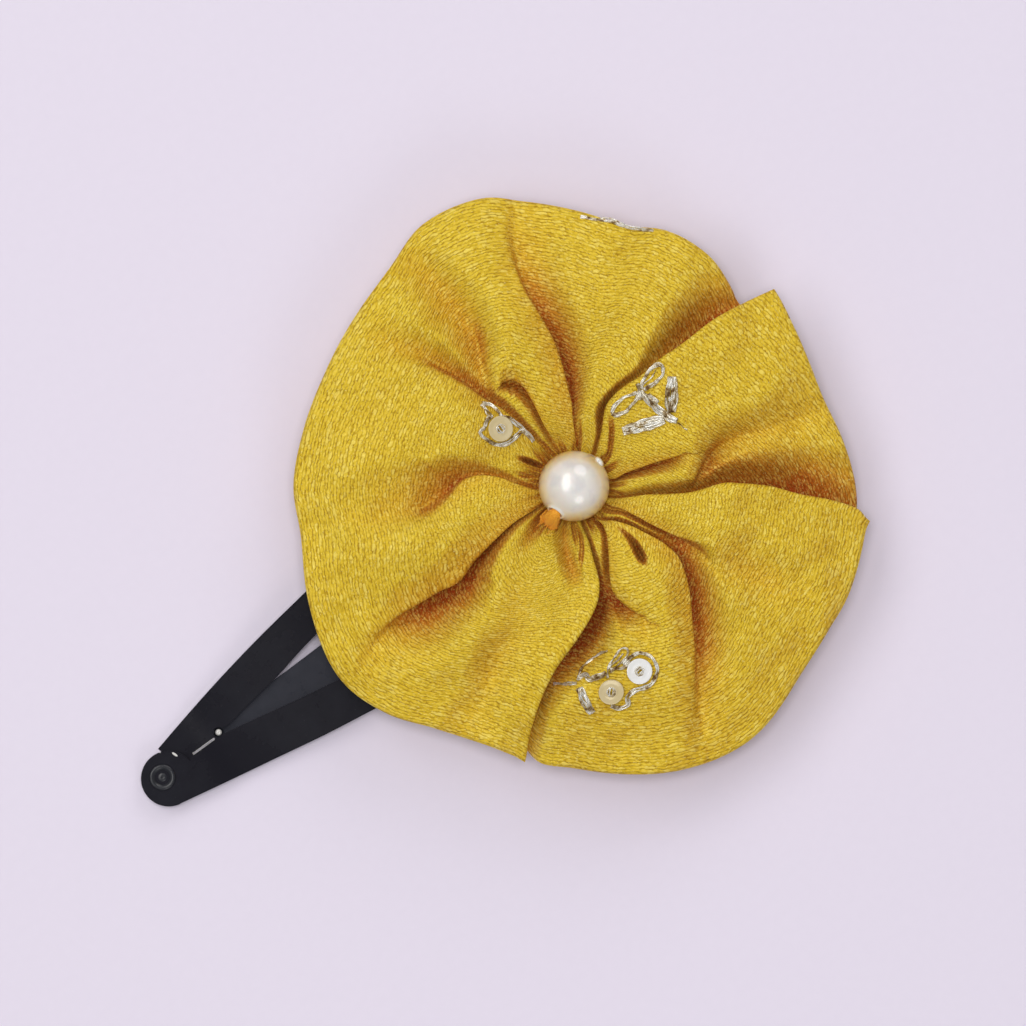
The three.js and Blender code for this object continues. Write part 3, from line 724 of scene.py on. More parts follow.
def closed_sheet(name, upper, lower, uv):
    """A mesh of two grids of points that share their rim and both sides, joined at the eye too.
    Also gives the vertices kept, out of the upper grid's and then the lower one's."""
    n_v, n_u = upper.shape[:2]
    index = np.arange(n_v * n_u).reshape(n_v, n_u)
    below = index + n_v * n_u
    below[-1, :], below[:, 0], below[:, -1] = index[-1, :], index[:, 0], index[:, -1]
    vertices = np.vstack([upper.reshape(-1, 3), lower.reshape(-1, 3)])

    def quads(g):
        return np.stack([g[:-1, :-1], g[:-1, 1:], g[1:, 1:], g[1:, :-1]], -1).reshape(-1, 4)

    eye = np.stack([index[0, 1:], index[0, :-1], below[0, :-1], below[0, 1:]], -1)
    faces = np.vstack([quads(index)[:, ::-1], quads(below), eye])
    used = np.zeros(len(vertices), bool)
    used[faces.ravel()] = True
    renumber = np.cumsum(used) - 1
    faces = [list(dict.fromkeys(f)) for f in renumber[faces].tolist()]
    uvs = np.vstack([uv.reshape(-1, 2), uv.reshape(-1, 2)])
    return new_object(name, vertices[used], [f for f in faces if len(f) > 2], uvs[used]), used


def petal_mesh(name, petal):
    alpha, radius = petal_grid(petal)
    angle = np.radians(alpha)
    first, last = side_angles(petal, radius)
    to_rim = table(petal["rim"], alpha[-1])[None, :] - radius
    to_start, to_end = radius * np.radians(alpha - first), radius * np.radians(last - alpha)
    to_edge = np.minimum(to_rim, np.minimum(to_start, to_end))
    plan = np.stack([radius * np.cos(angle), radius * np.sin(angle)], -1)
    height, push, creased = crown_height(plan.reshape(-1, 2), petal["folds"])
    height, creased = height.reshape(alpha.shape), creased.reshape(alpha.shape)
    east, north = slopes(plan, height)
    slope = east * math.cos(math.radians(LIT_FROM)) + north * math.sin(math.radians(LIT_FROM))
    height -= 0.3 * np.clip(LAP - to_start, 0, LAP) * smooth((radius - 4) / 6)
    # the upper face curls down and the lower one up, to meet in a round folded edge
    fade = np.clip(to_edge / ROLL, 0, 1)
    curl = ROLL * (1 - np.sqrt(1 - (1 - fade) ** 2))
    top = height - curl
    under = height - 2 * ROLL + curl
    # further in, the lower face follows the hollow underside of the flower
    deep = smooth((to_rim - 0.6) / 9) * smooth((to_end - 4.6) / 4.5) * smooth((to_start - 0.5) / 3)
    dish = table(DISH, radius) + 0.25 * np.sin(angle * 11) * smooth((radius - 15) / 8)
    thick = under - 0.25 * np.clip(to_end, 0, 4.6) * (to_end < to_rim)
    under = np.minimum(lerp(thick, dish, deep), under)
    under = np.where(to_edge > 0.01, np.maximum(under, table(DISH, radius)), under)
    under = np.minimum(under, top)
    plan = plan + (push * smooth(to_edge.reshape(-1, 1) / 2)).reshape(plan.shape)
    # the weave runs round the flower, turned by the petal's own angle
    around, inward = angle * WEAVE_R, to_rim
    c, w = math.cos(math.radians(petal["weave"])), math.sin(math.radians(petal["weave"]))
    uv = np.dstack([c * around + w * inward, c * inward - w * around])
    obj, used = closed_sheet(name, np.dstack([plan, top]), np.dstack([plan, under]), uv)

    def shade(attribute, upper_values, lower_value):
        values = np.concatenate([upper_values.ravel(), np.full(alpha.size, lower_value)])[used]
        layer = obj.data.attributes.new(attribute, "FLOAT", "POINT")
        layer.data.foreach_set("value", values.astype(np.float32))

    # Painted shade: the crease attribute darkens and reddens the cloth in the creases, on steep walls, close
    # round the pearl and over the whole underside; falls_away darkens slopes turned from the light, and
    # faces_up_slope brightens slopes that face it as a painted sheen.
    tight = (creased + 0.3 * smooth((7 - radius) / 3)) / (1.9 + 2.6 * smooth((radius - 6) / 12))
    steep = smooth((np.hypot(east, north) - 0.8) / 1.6) * smooth(to_edge / 0.8)
    tight = np.maximum(np.clip(tight, 0, 1) ** 0.95, 0.75 * steep)
    # painted shade, with a fixed share on the underside
    shade("crease", tight, 0.35)
    shade("falls_away", smooth(slope / 0.75) * smooth((radius - 4) / 6), 0)
    shade("faces_up_slope", smooth(-slope / 0.6) * (1 - tight), 0)
    return obj


for name, petal in PETALS.items():
    obj = finish_piece(petal_mesh("satin_" + name, petal), SATIN, "heel", [name])


def on_cloth(x, y, petal, lift=0.0):
    """A point lying on a petal's upper face."""
    height, push, _ = crown_height(np.array([[x, y]], float), PETALS[petal]["folds"])
    return Vector((x + push[0, 0], y + push[0, 1], height[0] + lift))


# ---------------------------------------------------------------- tubes, yarns and turned pieces


def tube(path, radius, sides):
    """Vertices and faces of a round cord along the path, closed at both ends."""
    path = np.array([list(p) for p in path], float)
    run = np.gradient(path, axis=0)
    run /= np.linalg.norm(run, axis=1)[:, None] + 1e-12
    up = np.array([0, 0, 1.0]) if abs(run[0][2]) < 0.9 else np.array([1.0, 0, 0])
    side = np.cross(run[0], up)
    radii = np.broadcast_to(radius, len(path))
    vertices = []
    for point, way, r in zip(path, run, radii):
        side = side - way * side.dot(way)
        side /= np.linalg.norm(side) + 1e-12
        other = np.cross(way, side)
        for k in range(sides):
            turn = 2 * math.pi * k / sides
            vertices.append(point + r * (math.cos(turn) * side + math.sin(turn) * other))
    faces = []
    for here in range(0, (len(path) - 1) * sides, sides):
        ahead = here + sides
        for k in range(sides):
            j = (k + 1) % sides
            faces.append((here + k, here + j, ahead + j, ahead + k))
    last = (len(path) - 1) * sides
    faces += [tuple(range(sides - 1, -1, -1)), tuple(range(last, last + sides))]
    return vertices, faces


def joined(parts):
    """Vertices and faces of several parts as one."""
    vertices, faces = [], []
    for v, f in parts:
        faces += [tuple(i + len(vertices) for i in face) for face in f]
        vertices += list(v)
    return vertices, faces


def yarn(points, radius, turns_per_mm, per=8, phase=0.0):
    """Two plies twisted round the curve through the points; per is the curve's steps to each span."""
    core = catmull([list(p) for p in points], per)
    length = np.concatenate([[0], np.cumsum(np.linalg.norm(np.diff(core, axis=0), axis=1))])
    n = max(8, int(length[-1] * 9))
    core = np.stack([np.interp(np.linspace(0, length[-1], n), length, core[:, i]) for i in range(3)], 1)
    run = np.gradient(core, axis=0)
    run /= np.linalg.norm(run, axis=1)[:, None] + 1e-12
    side = np.cross(run, [0, 0, 1.0])
    side /= np.linalg.norm(side, axis=1)[:, None] + 1e-9
    other = np.cross(run, side)
    travel = np.linspace(0, length[-1], n)
    parts = []
    for k in range(2):
        turn = 2 * math.pi * (travel * turns_per_mm + k / 2) + phase
        offset = 0.5 * radius * (np.cos(turn)[:, None] * side + np.sin(turn)[:, None] * other)
        parts.append(tube(core + offset, 0.62 * radius, 7))
    return joined(parts)


def lathe(section, segments, centre=(0, 0, 0)):
    """A closed section of (radius, height) points turned round an upright axis."""
    section = np.array(section, float)
    vertices, faces = [], []
    for k in range(segments):
        a = 2 * math.pi * k / segments
        for r, z in section:
            vertices.append((centre[0] + r * math.cos(a), centre[1] + r * math.sin(a), centre[2] + z))
    n = len(section)
    for k in range(segments):
        for i in range(n):
            j = (i + 1) % n
            a, b = k * n, ((k + 1) % segments) * n
            faces.append((a + i, b + i, b + j, a + j))
    return vertices, faces


# ---------------------------------------------------------------- pearl and its threads

low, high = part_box("pearl")
PEARL_C = (low + high) / 2 / MM
PEARL_R, HOLE_R = 4.05, 0.8
RISE, TURN = math.radians(22), math.radians(19)  # how the bore lies, up from level and round from -X
axis = Vector((-math.cos(RISE) * math.cos(TURN), -math.cos(RISE) * math.sin(TURN), math.sin(RISE)))
turn_to_axis = Vector((0, 0, 1)).rotation_difference(axis).to_matrix()

rim_angle = math.asin(HOLE_R / PEARL_R)
mouth = PEARL_R * math.cos(rim_angle)  # how far the bore's mouth is from the middle
lip = [(HOLE_R + 0.3, mouth + 0.02), (HOLE_R + 0.2, mouth + 0.1), (HOLE_R + 0.08, mouth + 0.1),
       (HOLE_R, mouth - 0.02)]
ball = [(PEARL_R * math.sin(t), PEARL_R * math.cos(t))
        for t in np.linspace(rim_angle + 0.1, math.pi - rim_angle - 0.1, 60)]
wall = [(HOLE_R - 0.04, -1.5), (HOLE_R - 0.04, 1.5)]
bead, bead_faces = lathe(lip[::-1] + ball + [(r, -z) for r, z in lip] + wall, 96)
bead = [PEARL_C + turn_to_axis @ Vector(v) for v in bead]
# a chip of raised coat on the side towards +X
lump = [(0.02, 0.42), (0.3, 0.33), (0.42, 0.12), (0.44, -0.1), (0.3, -0.3), (0.02, -0.4)]
chip, chip_faces = lathe(lump, 24)
chip = [PEARL_C + Vector((3.95, 0.55, 0.7)) + Vector((0.9 * x, 1.6 * y, 1.5 * z)) for x, y, z in chip]
parts = [(bead, [f[::-1] for f in bead_faces]), (chip, [f[::-1] for f in chip_faces])]
pearl = new_object("pearl_bead", *joined(parts))
finish_piece(pearl, PEARL, "heel", ["pearl"])


def along(t, z=None):
    """A point on the bore's line, t from the pearl's middle, or at the height z over or under it."""
    p = PEARL_C + axis * t
    return Vector((p.x, p.y, p.z if z is None else z))


fan_way = axis.cross(Vector((0, 0, 1))).normalized()
# a wedge of unspun floss from the bore's mouth down on to the cloth, with loose ends at its foot
spine = [along(2.6), along(3.7), along(4.25, 12.45), along(4.75, 11.5), along(5.2, 10.6), along(5.4, 9.8)]
thickness = np.interp(np.linspace(0, 1, 31), [0, 0.3, 0.6, 1], [0.55, 0.6, 0.75, 0.5])
parts = [tube(catmull(spine, 6), thickness, 16)]
for _ in range(64):  # fibres over the wedge
    fan = rng.uniform(-1, 1)
    out = fan_way * fan
    rise = math.sqrt(1 - fan * fan) * 0.75
    foot = rng.uniform(-0.3, 0.5)
    path = [along(3.0) + out * 0.4, along(3.8) + out * 0.5 + axis * 0.2 * rise,
            along(4.3, 12.5 + 0.75 * rise) + out * 0.75,
            along(4.85 + 0.3 * rise, 11.5 + 0.6 * rise) + out * 0.9,
            along(5.3 + 0.3 * rise, 10.6 + 0.4 * rise) + out, along(5.6 + foot, 9.9) + out * 1.05]
    parts.append(tube(catmull(path, 5), 0.11, 6))
for _ in range(16):  # loose ends
    wander = Vector(rng.normal(0, 0.25, 3))
    out = fan_way * rng.uniform(-1, 1)
    path = [along(4.6, 12.4) + out * 0.9, along(5.2, 11.3) + out + wander * 0.4,
            along(rng.uniform(5.7, 6.5), rng.uniform(9.9, 10.6)) + out * 1.2 + wander]
    parts.append(tube(catmull(path, 6), 0.045, 5))
for k in range(5):  # yarns up through the eye into the wedge
    out = fan_way * (k - 2) / 2
    path = [along(1.6, 4.2), along(2.6, 6.6) + out * 0.3, along(4.2, 8.4) + out * 0.8, along(5.3, 9.8) + out,
            along(5.5, 10.6) + out]
    parts.append(yarn(path, 0.19, 0.7, phase=k))
for k in range(3):  # yarns through the bore and down into the eye on the far side
    wander = Vector(rng.normal(0, 0.08, 3))
    path = [along(0), along(-2.5) + wander * 0.4, along(-3.8) + wander, along(-4.2, 9.5) + wander,
            along(-3.6, 8.2), along(-2.6, 6.6), along(-1.6, 4.2)]
    parts.append(yarn(path, 0.18, 0.8, phase=k))
threads = new_object("bead_threads", *joined(parts))
finish_piece(threads, ORANGE, "heel", ["bead_thread"])

# the gathering thread's turns round the petals' eye
parts = []
for k in range(4):
    ring = []
    for a in np.linspace(0, 2 * math.pi, 48):
        r = 3.75 + 0.22 * math.sin(3 * a + k) + 0.1 * k
        ring.append((r * math.cos(a), r * math.sin(a), 5.2 + 0.32 * k + 0.15 * math.sin(5 * a + 2 * k)))
    parts.append(yarn(ring, 0.2, 0.8, per=2, phase=k))
gather = new_object("gathering_turns", *joined(parts))
finish_piece(gather, ORANGE, "heel", ["gather_thread"])

# ---------------------------------------------------------------- sequins and metal-thread sprigs

RIGHT, LOWER, UPPER = "right_petal", "lower_petal", "upper_petal"
# where each sequin lies, its finish, and how far its stitch is turned, in degrees
SEQUINS = {
    "sequin_1": ((-6.4, -21.5), LOWER, WHITE_SEQUIN, 10),
    "sequin_2": ((-10.4, -21.5), LOWER, BEIGE_SEQUIN, 50),
    "sequin_3": ((-3.1, 10.2), UPPER, BEIGE_SEQUIN, 95),
}
CUP = [(0.36, 0), (0.6, 0), (1, 0.03), (1.35, 0.09), (1.45, 0.12), (1.48, 0.16), (1.44, 0.2), (1.34, 0.19),
       (1, 0.13), (0.8, 0.12), (0.7, 0.16), (0.56, 0.17), (0.47, 0.12), (0.36, 0.1), (0.31, 0.05)]
EYELET_R = 0.5


def cloth_tilt(x, y, petal):
    """The turn that lays a flat thing on the cloth at a point."""
    reach = 1.3
    east = on_cloth(x + reach, y, petal) - on_cloth(x - reach, y, petal)
    north = on_cloth(x, y + reach, petal) - on_cloth(x, y - reach, petal)
    up = east.cross(north).normalized()
    return Vector((0, 0, 1)).rotation_difference(up).to_matrix()


for name, ((x, y), petal, finish, turned) in SEQUINS.items():
    tilt = cloth_tilt(x, y, petal)
    seat = on_cloth(x, y, petal, 0.35)
    vertices, faces = lathe(CUP, 48)
    obj = new_object(name + "_cup", [seat + tilt @ Vector(v) for v in vertices], faces)
    finish_piece(obj, finish, "heel", [name])
    eyelet = [(EYELET_R * math.cos(a), EYELET_R * math.sin(a), 0.17) for a in np.linspace(0, 2 * math.pi, 24)]
    parts = [yarn([seat + tilt @ Vector(v) for v in eyelet], 0.075, 0.8, per=2)]
    turn = Matrix.Rotation(math.radians(turned), 3, "Z")
    for side in (-0.2, 0.2):
        stitch = [(-0.5, side, -0.4), (-0.52, side, 0.12), (-0.2, side, 0.24), (0.2, side, 0.24),
                  (0.52, side, 0.12), (0.5, side, -0.4)]
        parts.append(yarn([seat + tilt @ turn @ Vector(v) for v in stitch], 0.1, 0.6, phase=3 * side))
    obj = new_object(name + "_thread", *joined(parts))
    finish_piece(obj, ZARI, "heel", [name + "_stitch"])


def strands(points, petal, rows, radius=0.16, spread=0.26, lift=0.16, bow=0.0):
    """Metal threads couched side by side along the points. bow opens them apart in the middle."""
    line = catmull(points, 5)
    way = np.gradient(line, axis=0)
    way /= np.linalg.norm(way, axis=1)[:, None] + 1e-9
    across = np.stack([-way[:, 1], way[:, 0]], 1)
    belly = np.sin(np.pi * np.linspace(0.04, 0.96, len(line))) ** 0.6
    parts = []
    for k in range(rows):
        place = k - (rows - 1) / 2
        sway = 0.05 * np.sin(np.linspace(0, 7, len(line)) + 2.3 * k)
        off = place * (spread * 0.55 + bow * belly) + sway
        top = lift + 0.10 * (1 - abs(place) / max(1, rows / 2))
        top = top + 0.05 * np.sin(np.linspace(0, 9, len(line)) + k)
        path = [on_cloth(x, y, petal, z) for (x, y), z in zip(line + across * off[:, None], top)]
        parts.append(yarn(path, radius * rng.uniform(0.85, 1.15), 0.32, per=2, phase=1.9 * k))
    return parts


SPRIGS = {  # rows, radius, spread, lift and bow of the threads, then their points
    "sprig_leaves": ("leaf_motif", RIGHT, [
        ((2, 0.15, 0.3), [(12.7, 4.5), (13.6, 5.2), (15, 5.7), (15.9, 5.6), (16.2, 5)]),
        ((2, 0.15, 0.3), [(16.2, 5), (15.4, 4.2), (14.1, 4.1), (12.9, 4.2)]),
        ((1, 0.09), [(13.1, 4.7), (14.1, 4.8), (15.4, 5.2)]),
        ((2, 0.14, 0.3), [(12.1, 4.4), (11.1, 4.7), (10.1, 4.8), (9, 4.6), (8.4, 4.3)]),
        ((2, 0.14, 0.3), [(12, 4), (10.8, 3.6), (9.8, 3.4), (8.7, 3.7), (8.4, 4.2)]),
        ((2, 0.14, 0.3, 0.4), [(12.7, 5.2), (12.3, 4.3), (11.9, 3.5)]),
        ((3, 0.2, 0.5, 0.2), [(12.4, 4.3), (12.6, 2.9), (12.8, 1.6), (13.2, 0.6), (13.5, -0.3),
          (13.9, -0.9)]),
        ((2, 0.13, 0.3, 0.3), [(13, 3.5), (13.4, 2.1)]),
        ((5, 0.16, 0.22, 0.2, 0.18), [(16.4, 3.5), (13.9, 0.3)]),
        ((5, 0.16, 0.22, 0.2, 0.16), [(8.2, 1.8), (12.8, 0.1)]),
        ((1, 0.08), [(13.8, -1.1), (14.2, -2.4)]),
    ]),
    "sprig_vine": ("vine_motif", LOWER, [
        ((2, 0.11, 0.3), [(-15.2, -16.9), (-14.2, -17.6), (-13, -18.4)]),
        ((1,), [(-12.7, -18.2), (-11.5, -17.4), (-10.2, -17.2), (-8.8, -17.2), (-8, -17.5)]),
        ((3, 0.14, 0.35), [(-12.5, -18), (-11.7, -18.2), (-11.5, -18.9), (-10.5, -19.2), (-9.6, -19.4)]),
        ((1,), [(-9.8, -20), (-9, -19.1), (-7.8, -18.6), (-6.5, -18.2), (-6, -18.8), (-6.8, -19.4),
          (-8, -19.5), (-9.2, -19.6)]),
        ((1, 0.1), [(-9.2, -19.2), (-7.9, -19), (-6.7, -18.8)]),
        ((2, 0.13, 0.3), [(-9, -19.4), (-7.8, -20), (-6.6, -20.1)]),
        ((2, 0.14, 0.42), [(-7.4, -19.9), (-6.1, -19.6), (-5.1, -19.9), (-4.5, -20.6), (-4.3, -21.7),
          (-4.8, -22.8), (-6.1, -23.5), (-7, -23.4), (-8.1, -23), (-9.2, -23.1), (-9.7, -23.8),
          (-10.7, -23.6), (-11.4, -22.8)]),
        ((4, 0.15, 0.2, 0.16, 0.16), [(-13.1, -19), (-13.4, -20.5), (-13.6, -22.2)]),
    ]),
    "sprig_bud": ("bud_motif", UPPER, [
        ((2, 0.14, 0.4), [(-3.3, 12), (-3.9, 11.8), (-4.3, 11.4), (-5.1, 11.3), (-5, 10.4), (-4.7, 9.6),
          (-4.1, 8.8), (-3.1, 8.4), (-2, 8.5), (-1.5, 8.5), (-1.2, 7.9), (-1.1, 6.8)]),
        ((2, 0.13, 0.34), [(-3.3, 13.7), (-2.6, 12.8), (-2.4, 12.1), (-2.3, 11.2), (-1.8, 10.4),
          (-1.5, 9.3), (-1.2, 8.3), (-1, 7)]),
        ((2, 0.13, 0.3), [(-3.4, 13.7), (-3.3, 12.8), (-3.2, 11.7)]),
    ]),
    "sprig_rim": ("rim_motif", UPPER, [
        ((2, 0.12, 0.3, -0.02), [(18.7, 24.5), (20.2, 22.9), (21.2, 22), (22.1, 20.7), (23.3, 19.4),
          (24.5, 18.3)]),
        ((1, 0.12, 0.26, 0.35), [(20.4, 23), (21.5, 22.1), (22.2, 20.9)]),
    ]),
}
for piece, (node, petal, runs) in SPRIGS.items():
    parts = []
    for how, points in runs:
        parts += strands(points, petal, *how)
    finish_piece(new_object(piece, *joined(parts)), ZARI, "heel", [node])

# ---------------------------------------------------------------- the painted steel clip

PLATE = 0.6  # thickness of the steel
LEG_FLEX_X, TONGUE_FLEX_X = -10, -7  # where the legs and the tongue leave the heel
ARCH_END_X, LAP_STARTS = -50, -50.6  # where the arch ends, and where the legs begin to lap
LEG_ARCH, TONGUE_ARCH, NOSE_LIFT, NOSE_LAP = 2, 1.7, 0.75, 0.325  # heights over the table
EDGE_ROUND = 0.13  # width of the steel's rounded edges
STEP = 0.8
WEAR_AND_GLINT_INNER, WEAR_AND_GLINT_OUTER = 1.0, 0.3  # how far the paint is rubbed off the two sides' edges, and how strongly they take the painted highlight


def arch_share(x):
    """0 where the legs leave the heel, 1 where their arch ends near the nose."""
    return np.clip((LEG_FLEX_X - x) / (LEG_FLEX_X - ARCH_END_X), 0, 1)


def hump(x):
    return (1 - np.cos(2 * np.pi * arch_share(x))) / 2


def leg_lift(x, side):
    """Height of a leg's lower face. At the nose the left leg, side 1, goes under the right one."""
    lap = side * NOSE_LAP * smooth((LAP_STARTS - x) / 1.8)
    return LEG_ARCH * hump(x) + NOSE_LIFT * smooth(arch_share(x)) - lap


def arc(cx, cy, r, first, last, steps):
    angles = np.radians(np.linspace(first, last, steps))
    return [(cx + r * math.cos(a), cy + r * math.sin(a)) for a in angles]


def densely(points):
    """A closed outline with points added, so that none are more than STEP apart."""
    out = []
    for a, b in zip(points, points[1:] + points[:1]):
        n = max(1, math.ceil(math.dist(a, b) / STEP))
        out += [(lerp(a[0], b[0], k / n), lerp(a[1], b[1], k / n)) for k in range(n)]
    return out


def flat_part(outline, lift):
    """A piece of steel sheet: the outline cut across every millimetre, then lifted along X."""
    bm = bmesh.new()
    tris = geometry.tessellate_polygon([[Vector((*p, 0)) for p in outline]])
    sheets = []
    for z in (0, PLATE):
        verts = [bm.verts.new((x, y, z)) for x, y in outline]
        sheets.append(verts)
        for tri in tris:
            bm.faces.new([verts[i] for i in tri])
    lower, upper = sheets
    for i in range(len(outline)):
        j = (i + 1) % len(outline)
        bm.faces.new((lower[i], lower[j], upper[j], upper[i]))
    for station in np.arange(-60.5, 5, 1.0):
        everything = bm.verts[:] + bm.edges[:] + bm.faces[:]
        bmesh.ops.bisect_plane(bm, geom=everything, plane_co=(station, 0, 0), plane_no=(1, 0, 0), dist=1e-5)
    bm.verts.index_update()
    vertices = [(v.co.x, v.co.y, v.co.z + float(lift(v.co.x))) for v in bm.verts]
    faces = [[v.index for v in f.verts] for f in bm.faces]
    bm.free()
    return vertices, faces


def plate_object(name, halves, cut):
    """Steel sheet of one or two flat parts that meet on the middle line. cut tells the straight
    edges that are left square, where one part carries on from another."""
    vertices, faces = joined([flat_part(outline, lift) for outline, lift in halves])
    bm = bmesh.new()
    made = [bm.verts.new(v) for v in vertices]
    for face in faces:
        bm.faces.new([made[i] for i in face])
    bmesh.ops.remove_doubles(bm, verts=bm.verts[:], dist=1e-4)

    def shared_or_upright(edge):
        return len(edge.link_faces) > 2 or abs(edge.verts[0].co.z - edge.verts[1].co.z) > 0.1

    # the walls on the middle line, where the two halves meet inside the steel
    inner = [f for f in bm.faces if abs(f.normal.z) < 0.1 and all(shared_or_upright(e) for e in f.edges)
             and all(abs(v.co.y) < 1e-3 for v in f.verts)]
    bmesh.ops.delete(bm, geom=inner, context="FACES")
    bmesh.ops.recalc_face_normals(bm, faces=bm.faces[:])
    weights = bm.edges.layers.float.new("bevel_weight_edge")
    for e in bm.edges:
        if len(e.link_faces) == 2 and e.calc_face_angle(0) > math.radians(50):
            ends = [v.co for v in e.verts]
            if not all(cut(p) for p in ends):
                e[weights] = 1.0
    bmesh.ops.scale(bm, vec=(MM, MM, MM), verts=bm.verts[:])
    mesh = bpy.data.meshes.new(name)
    bm.to_mesh(mesh)
    bm.free()
    obj = bpy.data.objects.new(name, mesh)
    scene.collection.objects.link(obj)
    modifier = obj.modifiers.new("edges", "BEVEL")
    modifier.limit_method, modifier.width, modifier.segments = "WEIGHT", EDGE_ROUND * MM, 3
    obj.data.materials.append(PAINT)
    obj.data.materials.append(PAINT)
    modifier.material = 1
    bpy.context.view_layer.objects.active = obj
    obj.select_set(True)
    bpy.ops.object.modifier_apply(modifier="edges")
    obj.select_set(False)
    # mark the bevel faces for the rubbed edges' wear and painted highlight, stronger on the inner edges
    on_bevel = np.zeros(len(obj.data.polygons), np.int32)
    obj.data.polygons.foreach_get("material_index", on_bevel)
    inner_edge = np.array([f.normal.y * f.center.y < 0 for f in obj.data.polygons])
    edge_wear_and_glint = on_bevel * np.where(inner_edge, WEAR_AND_GLINT_INNER, WEAR_AND_GLINT_OUTER)
    layer = obj.data.attributes.new("edge_wear_and_glint", "FLOAT", "FACE")
    layer.data.foreach_set("value", edge_wear_and_glint.astype(np.float32))
    obj.data.polygons.foreach_set("material_index", np.zeros_like(on_bevel))
    obj.data.shade_smooth()
    obj.data.set_sharp_from_angle(angle=math.radians(40))
    return obj


NOSE = (-57.4, 0.15)
RIVET_AT = (-57.9, 0.7, 0)
DIMPLE_CUT_R = 0.58
LEFT_OUTER = [(LEG_FLEX_X, 9.8), (-20, 9.5), (-28, 8.8), (-34, 8), (-40, 7.1), (-46, 6), (-52, 4.7),
              (-56.4, 3.65)]
RIGHT_OUTER = [(LEG_FLEX_X, 9.8), (-20, 9.1), (-28, 8.05), (-34, 7.2), (-40, 6.3), (-46, 5.2), (-52, 4.1),
               (-58, 2.95)]
LEFT_INNER = [(-49.2, 1.2), (-48, 1.15), (-46, 1.5), (-44, 1.8), (-40, 2.4), (-36, 3.25), (-30, 4.2),
              (-24, 4.75), (-14, 5), (LEG_FLEX_X, 5)]
RIGHT_INNER = [(-49.4, -0.7), (-48, -0.4), (-46, 0), (-44, 0.4), (-40, 1.2), (-35, 2.1), (-28, 3.4),
               (-20, 4.5), (-14, 4.95), (LEG_FLEX_X, 5)]


def half_plate(side):
    """One leg with its half of the heel, down to the middle line. The right leg's points are given
    as if seen in a mirror, so both outlines run the same way."""
    left = side > 0
    slit = side * SLIT_Y + 0.08
    nose_x, nose_y = NOSE[0], side * NOSE[1]
    points = [tuple(p) for p in catmull(LEFT_OUTER if left else RIGHT_OUTER, 12)]
    points += arc(nose_x, nose_y, 3.1, 68, 350, 60) if left else arc(nose_x, nose_y, 3.2, 102, 355, 60)
    points += [(-53.4, slit), (-50.2, slit)]
    if left:
        points += arc(*DIMPLE, DIMPLE_CUT_R, 198, 20, 16)
    points += [tuple(p) for p in catmull(LEFT_INNER if left else RIGHT_INNER, 12)]
    points += arc(-4.5, 4, 1.0, 90, -90, 18) + [(TONGUE_FLEX_X, 3.0), (TONGUE_FLEX_X, 0.0), (4.8, 0.0)]
    points += arc(-5, 0, 9.8, 0, 90, 48)[1:]
    points = [p for p, q in zip(points, points[1:] + points[:1]) if math.dist(p, q) > 1e-3]
    points = densely(points)
    return [(x, side * y) for x, y in points][:: side]


def at_tongue_cut(p):
    return abs(p.x - TONGUE_FLEX_X) < 1e-3 and abs(p.y) < 3.01


halves = [(half_plate(1), lambda x: leg_lift(x, 1)), (half_plate(-1), lambda x: leg_lift(x, -1))]
plate = plate_object("spring_plate", halves, at_tongue_cut)
finish_piece(plate, PAINT)
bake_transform(plate)
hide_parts("clip_heel", "left_leg", "right_leg")


TONGUE_END_X, TIP_R = -50.6, 2.15


def tongue_outline():
    tip_x = TONGUE_END_X + TIP_R
    side = catmull([(TONGUE_FLEX_X, 3.0), (-17, 2.9), (-27, 2.6), (-36, 2.28), (tip_x, TIP_R)], 10)
    tip = arc(tip_x, 0, TIP_R, 90, 270, 30)[1:]
    return densely([tuple(p) for p in side] + tip + [(x, -y) for x, y in side[::-1][1:]])


tongue = plate_object("spring_tongue", [(tongue_outline(), lambda x: TONGUE_ARCH * hump(x))], at_tongue_cut)
finish_piece(tongue, LIT_TONGUE_PAINT)
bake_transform(tongue)
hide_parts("tongue")

below, above = NOSE_LIFT - NOSE_LAP - 0.05, NOSE_LIFT + NOSE_LAP + PLATE + 0.05
# a tubular rivet: flange under the legs, rolled rim on top and a dished middle
section = [(0.02, 0.08), (1.3, 0.08), (1.55, 0.13), (1.68, 0.25), (1.6, below), (0.85, below), (0.85, above),
           (1.25, above), (1.42, above + 0.04), (1.48, above + 0.1), (1.42, above + 0.17),
           (1.25, above + 0.2), (1.05, above + 0.16), (0.9, above), (0.75, above - 0.14),
           (0.6, above - 0.12), (0.35, above + 0.02), (0.02, above + 0.07)]
shank = lathe(section, 64, RIVET_AT)
dimple_z = leg_lift(DIMPLE[0], 1) + PLATE - 0.22
# a bright dome set in the dimple's hole on its wide base, painted steel: painted light standing in for the
# light seen through the hole
dome = [(0.02, -0.36), (0.54, -0.36), (0.55, -0.2), (0.40, -0.16), (0.38, 0.0), (0.33, 0.12), (0.2, 0.21),
        (0.02, 0.25)]
rivet = new_object("nose_rivet_detail", *joined([shank, lathe(dome, 32, (*DIMPLE, dimple_z))]))
finish_piece(rivet, PAINT_RIVET, "legs", ["nose_rivet"])

# ---------------------------------------------------------------- felt and glue under the flower


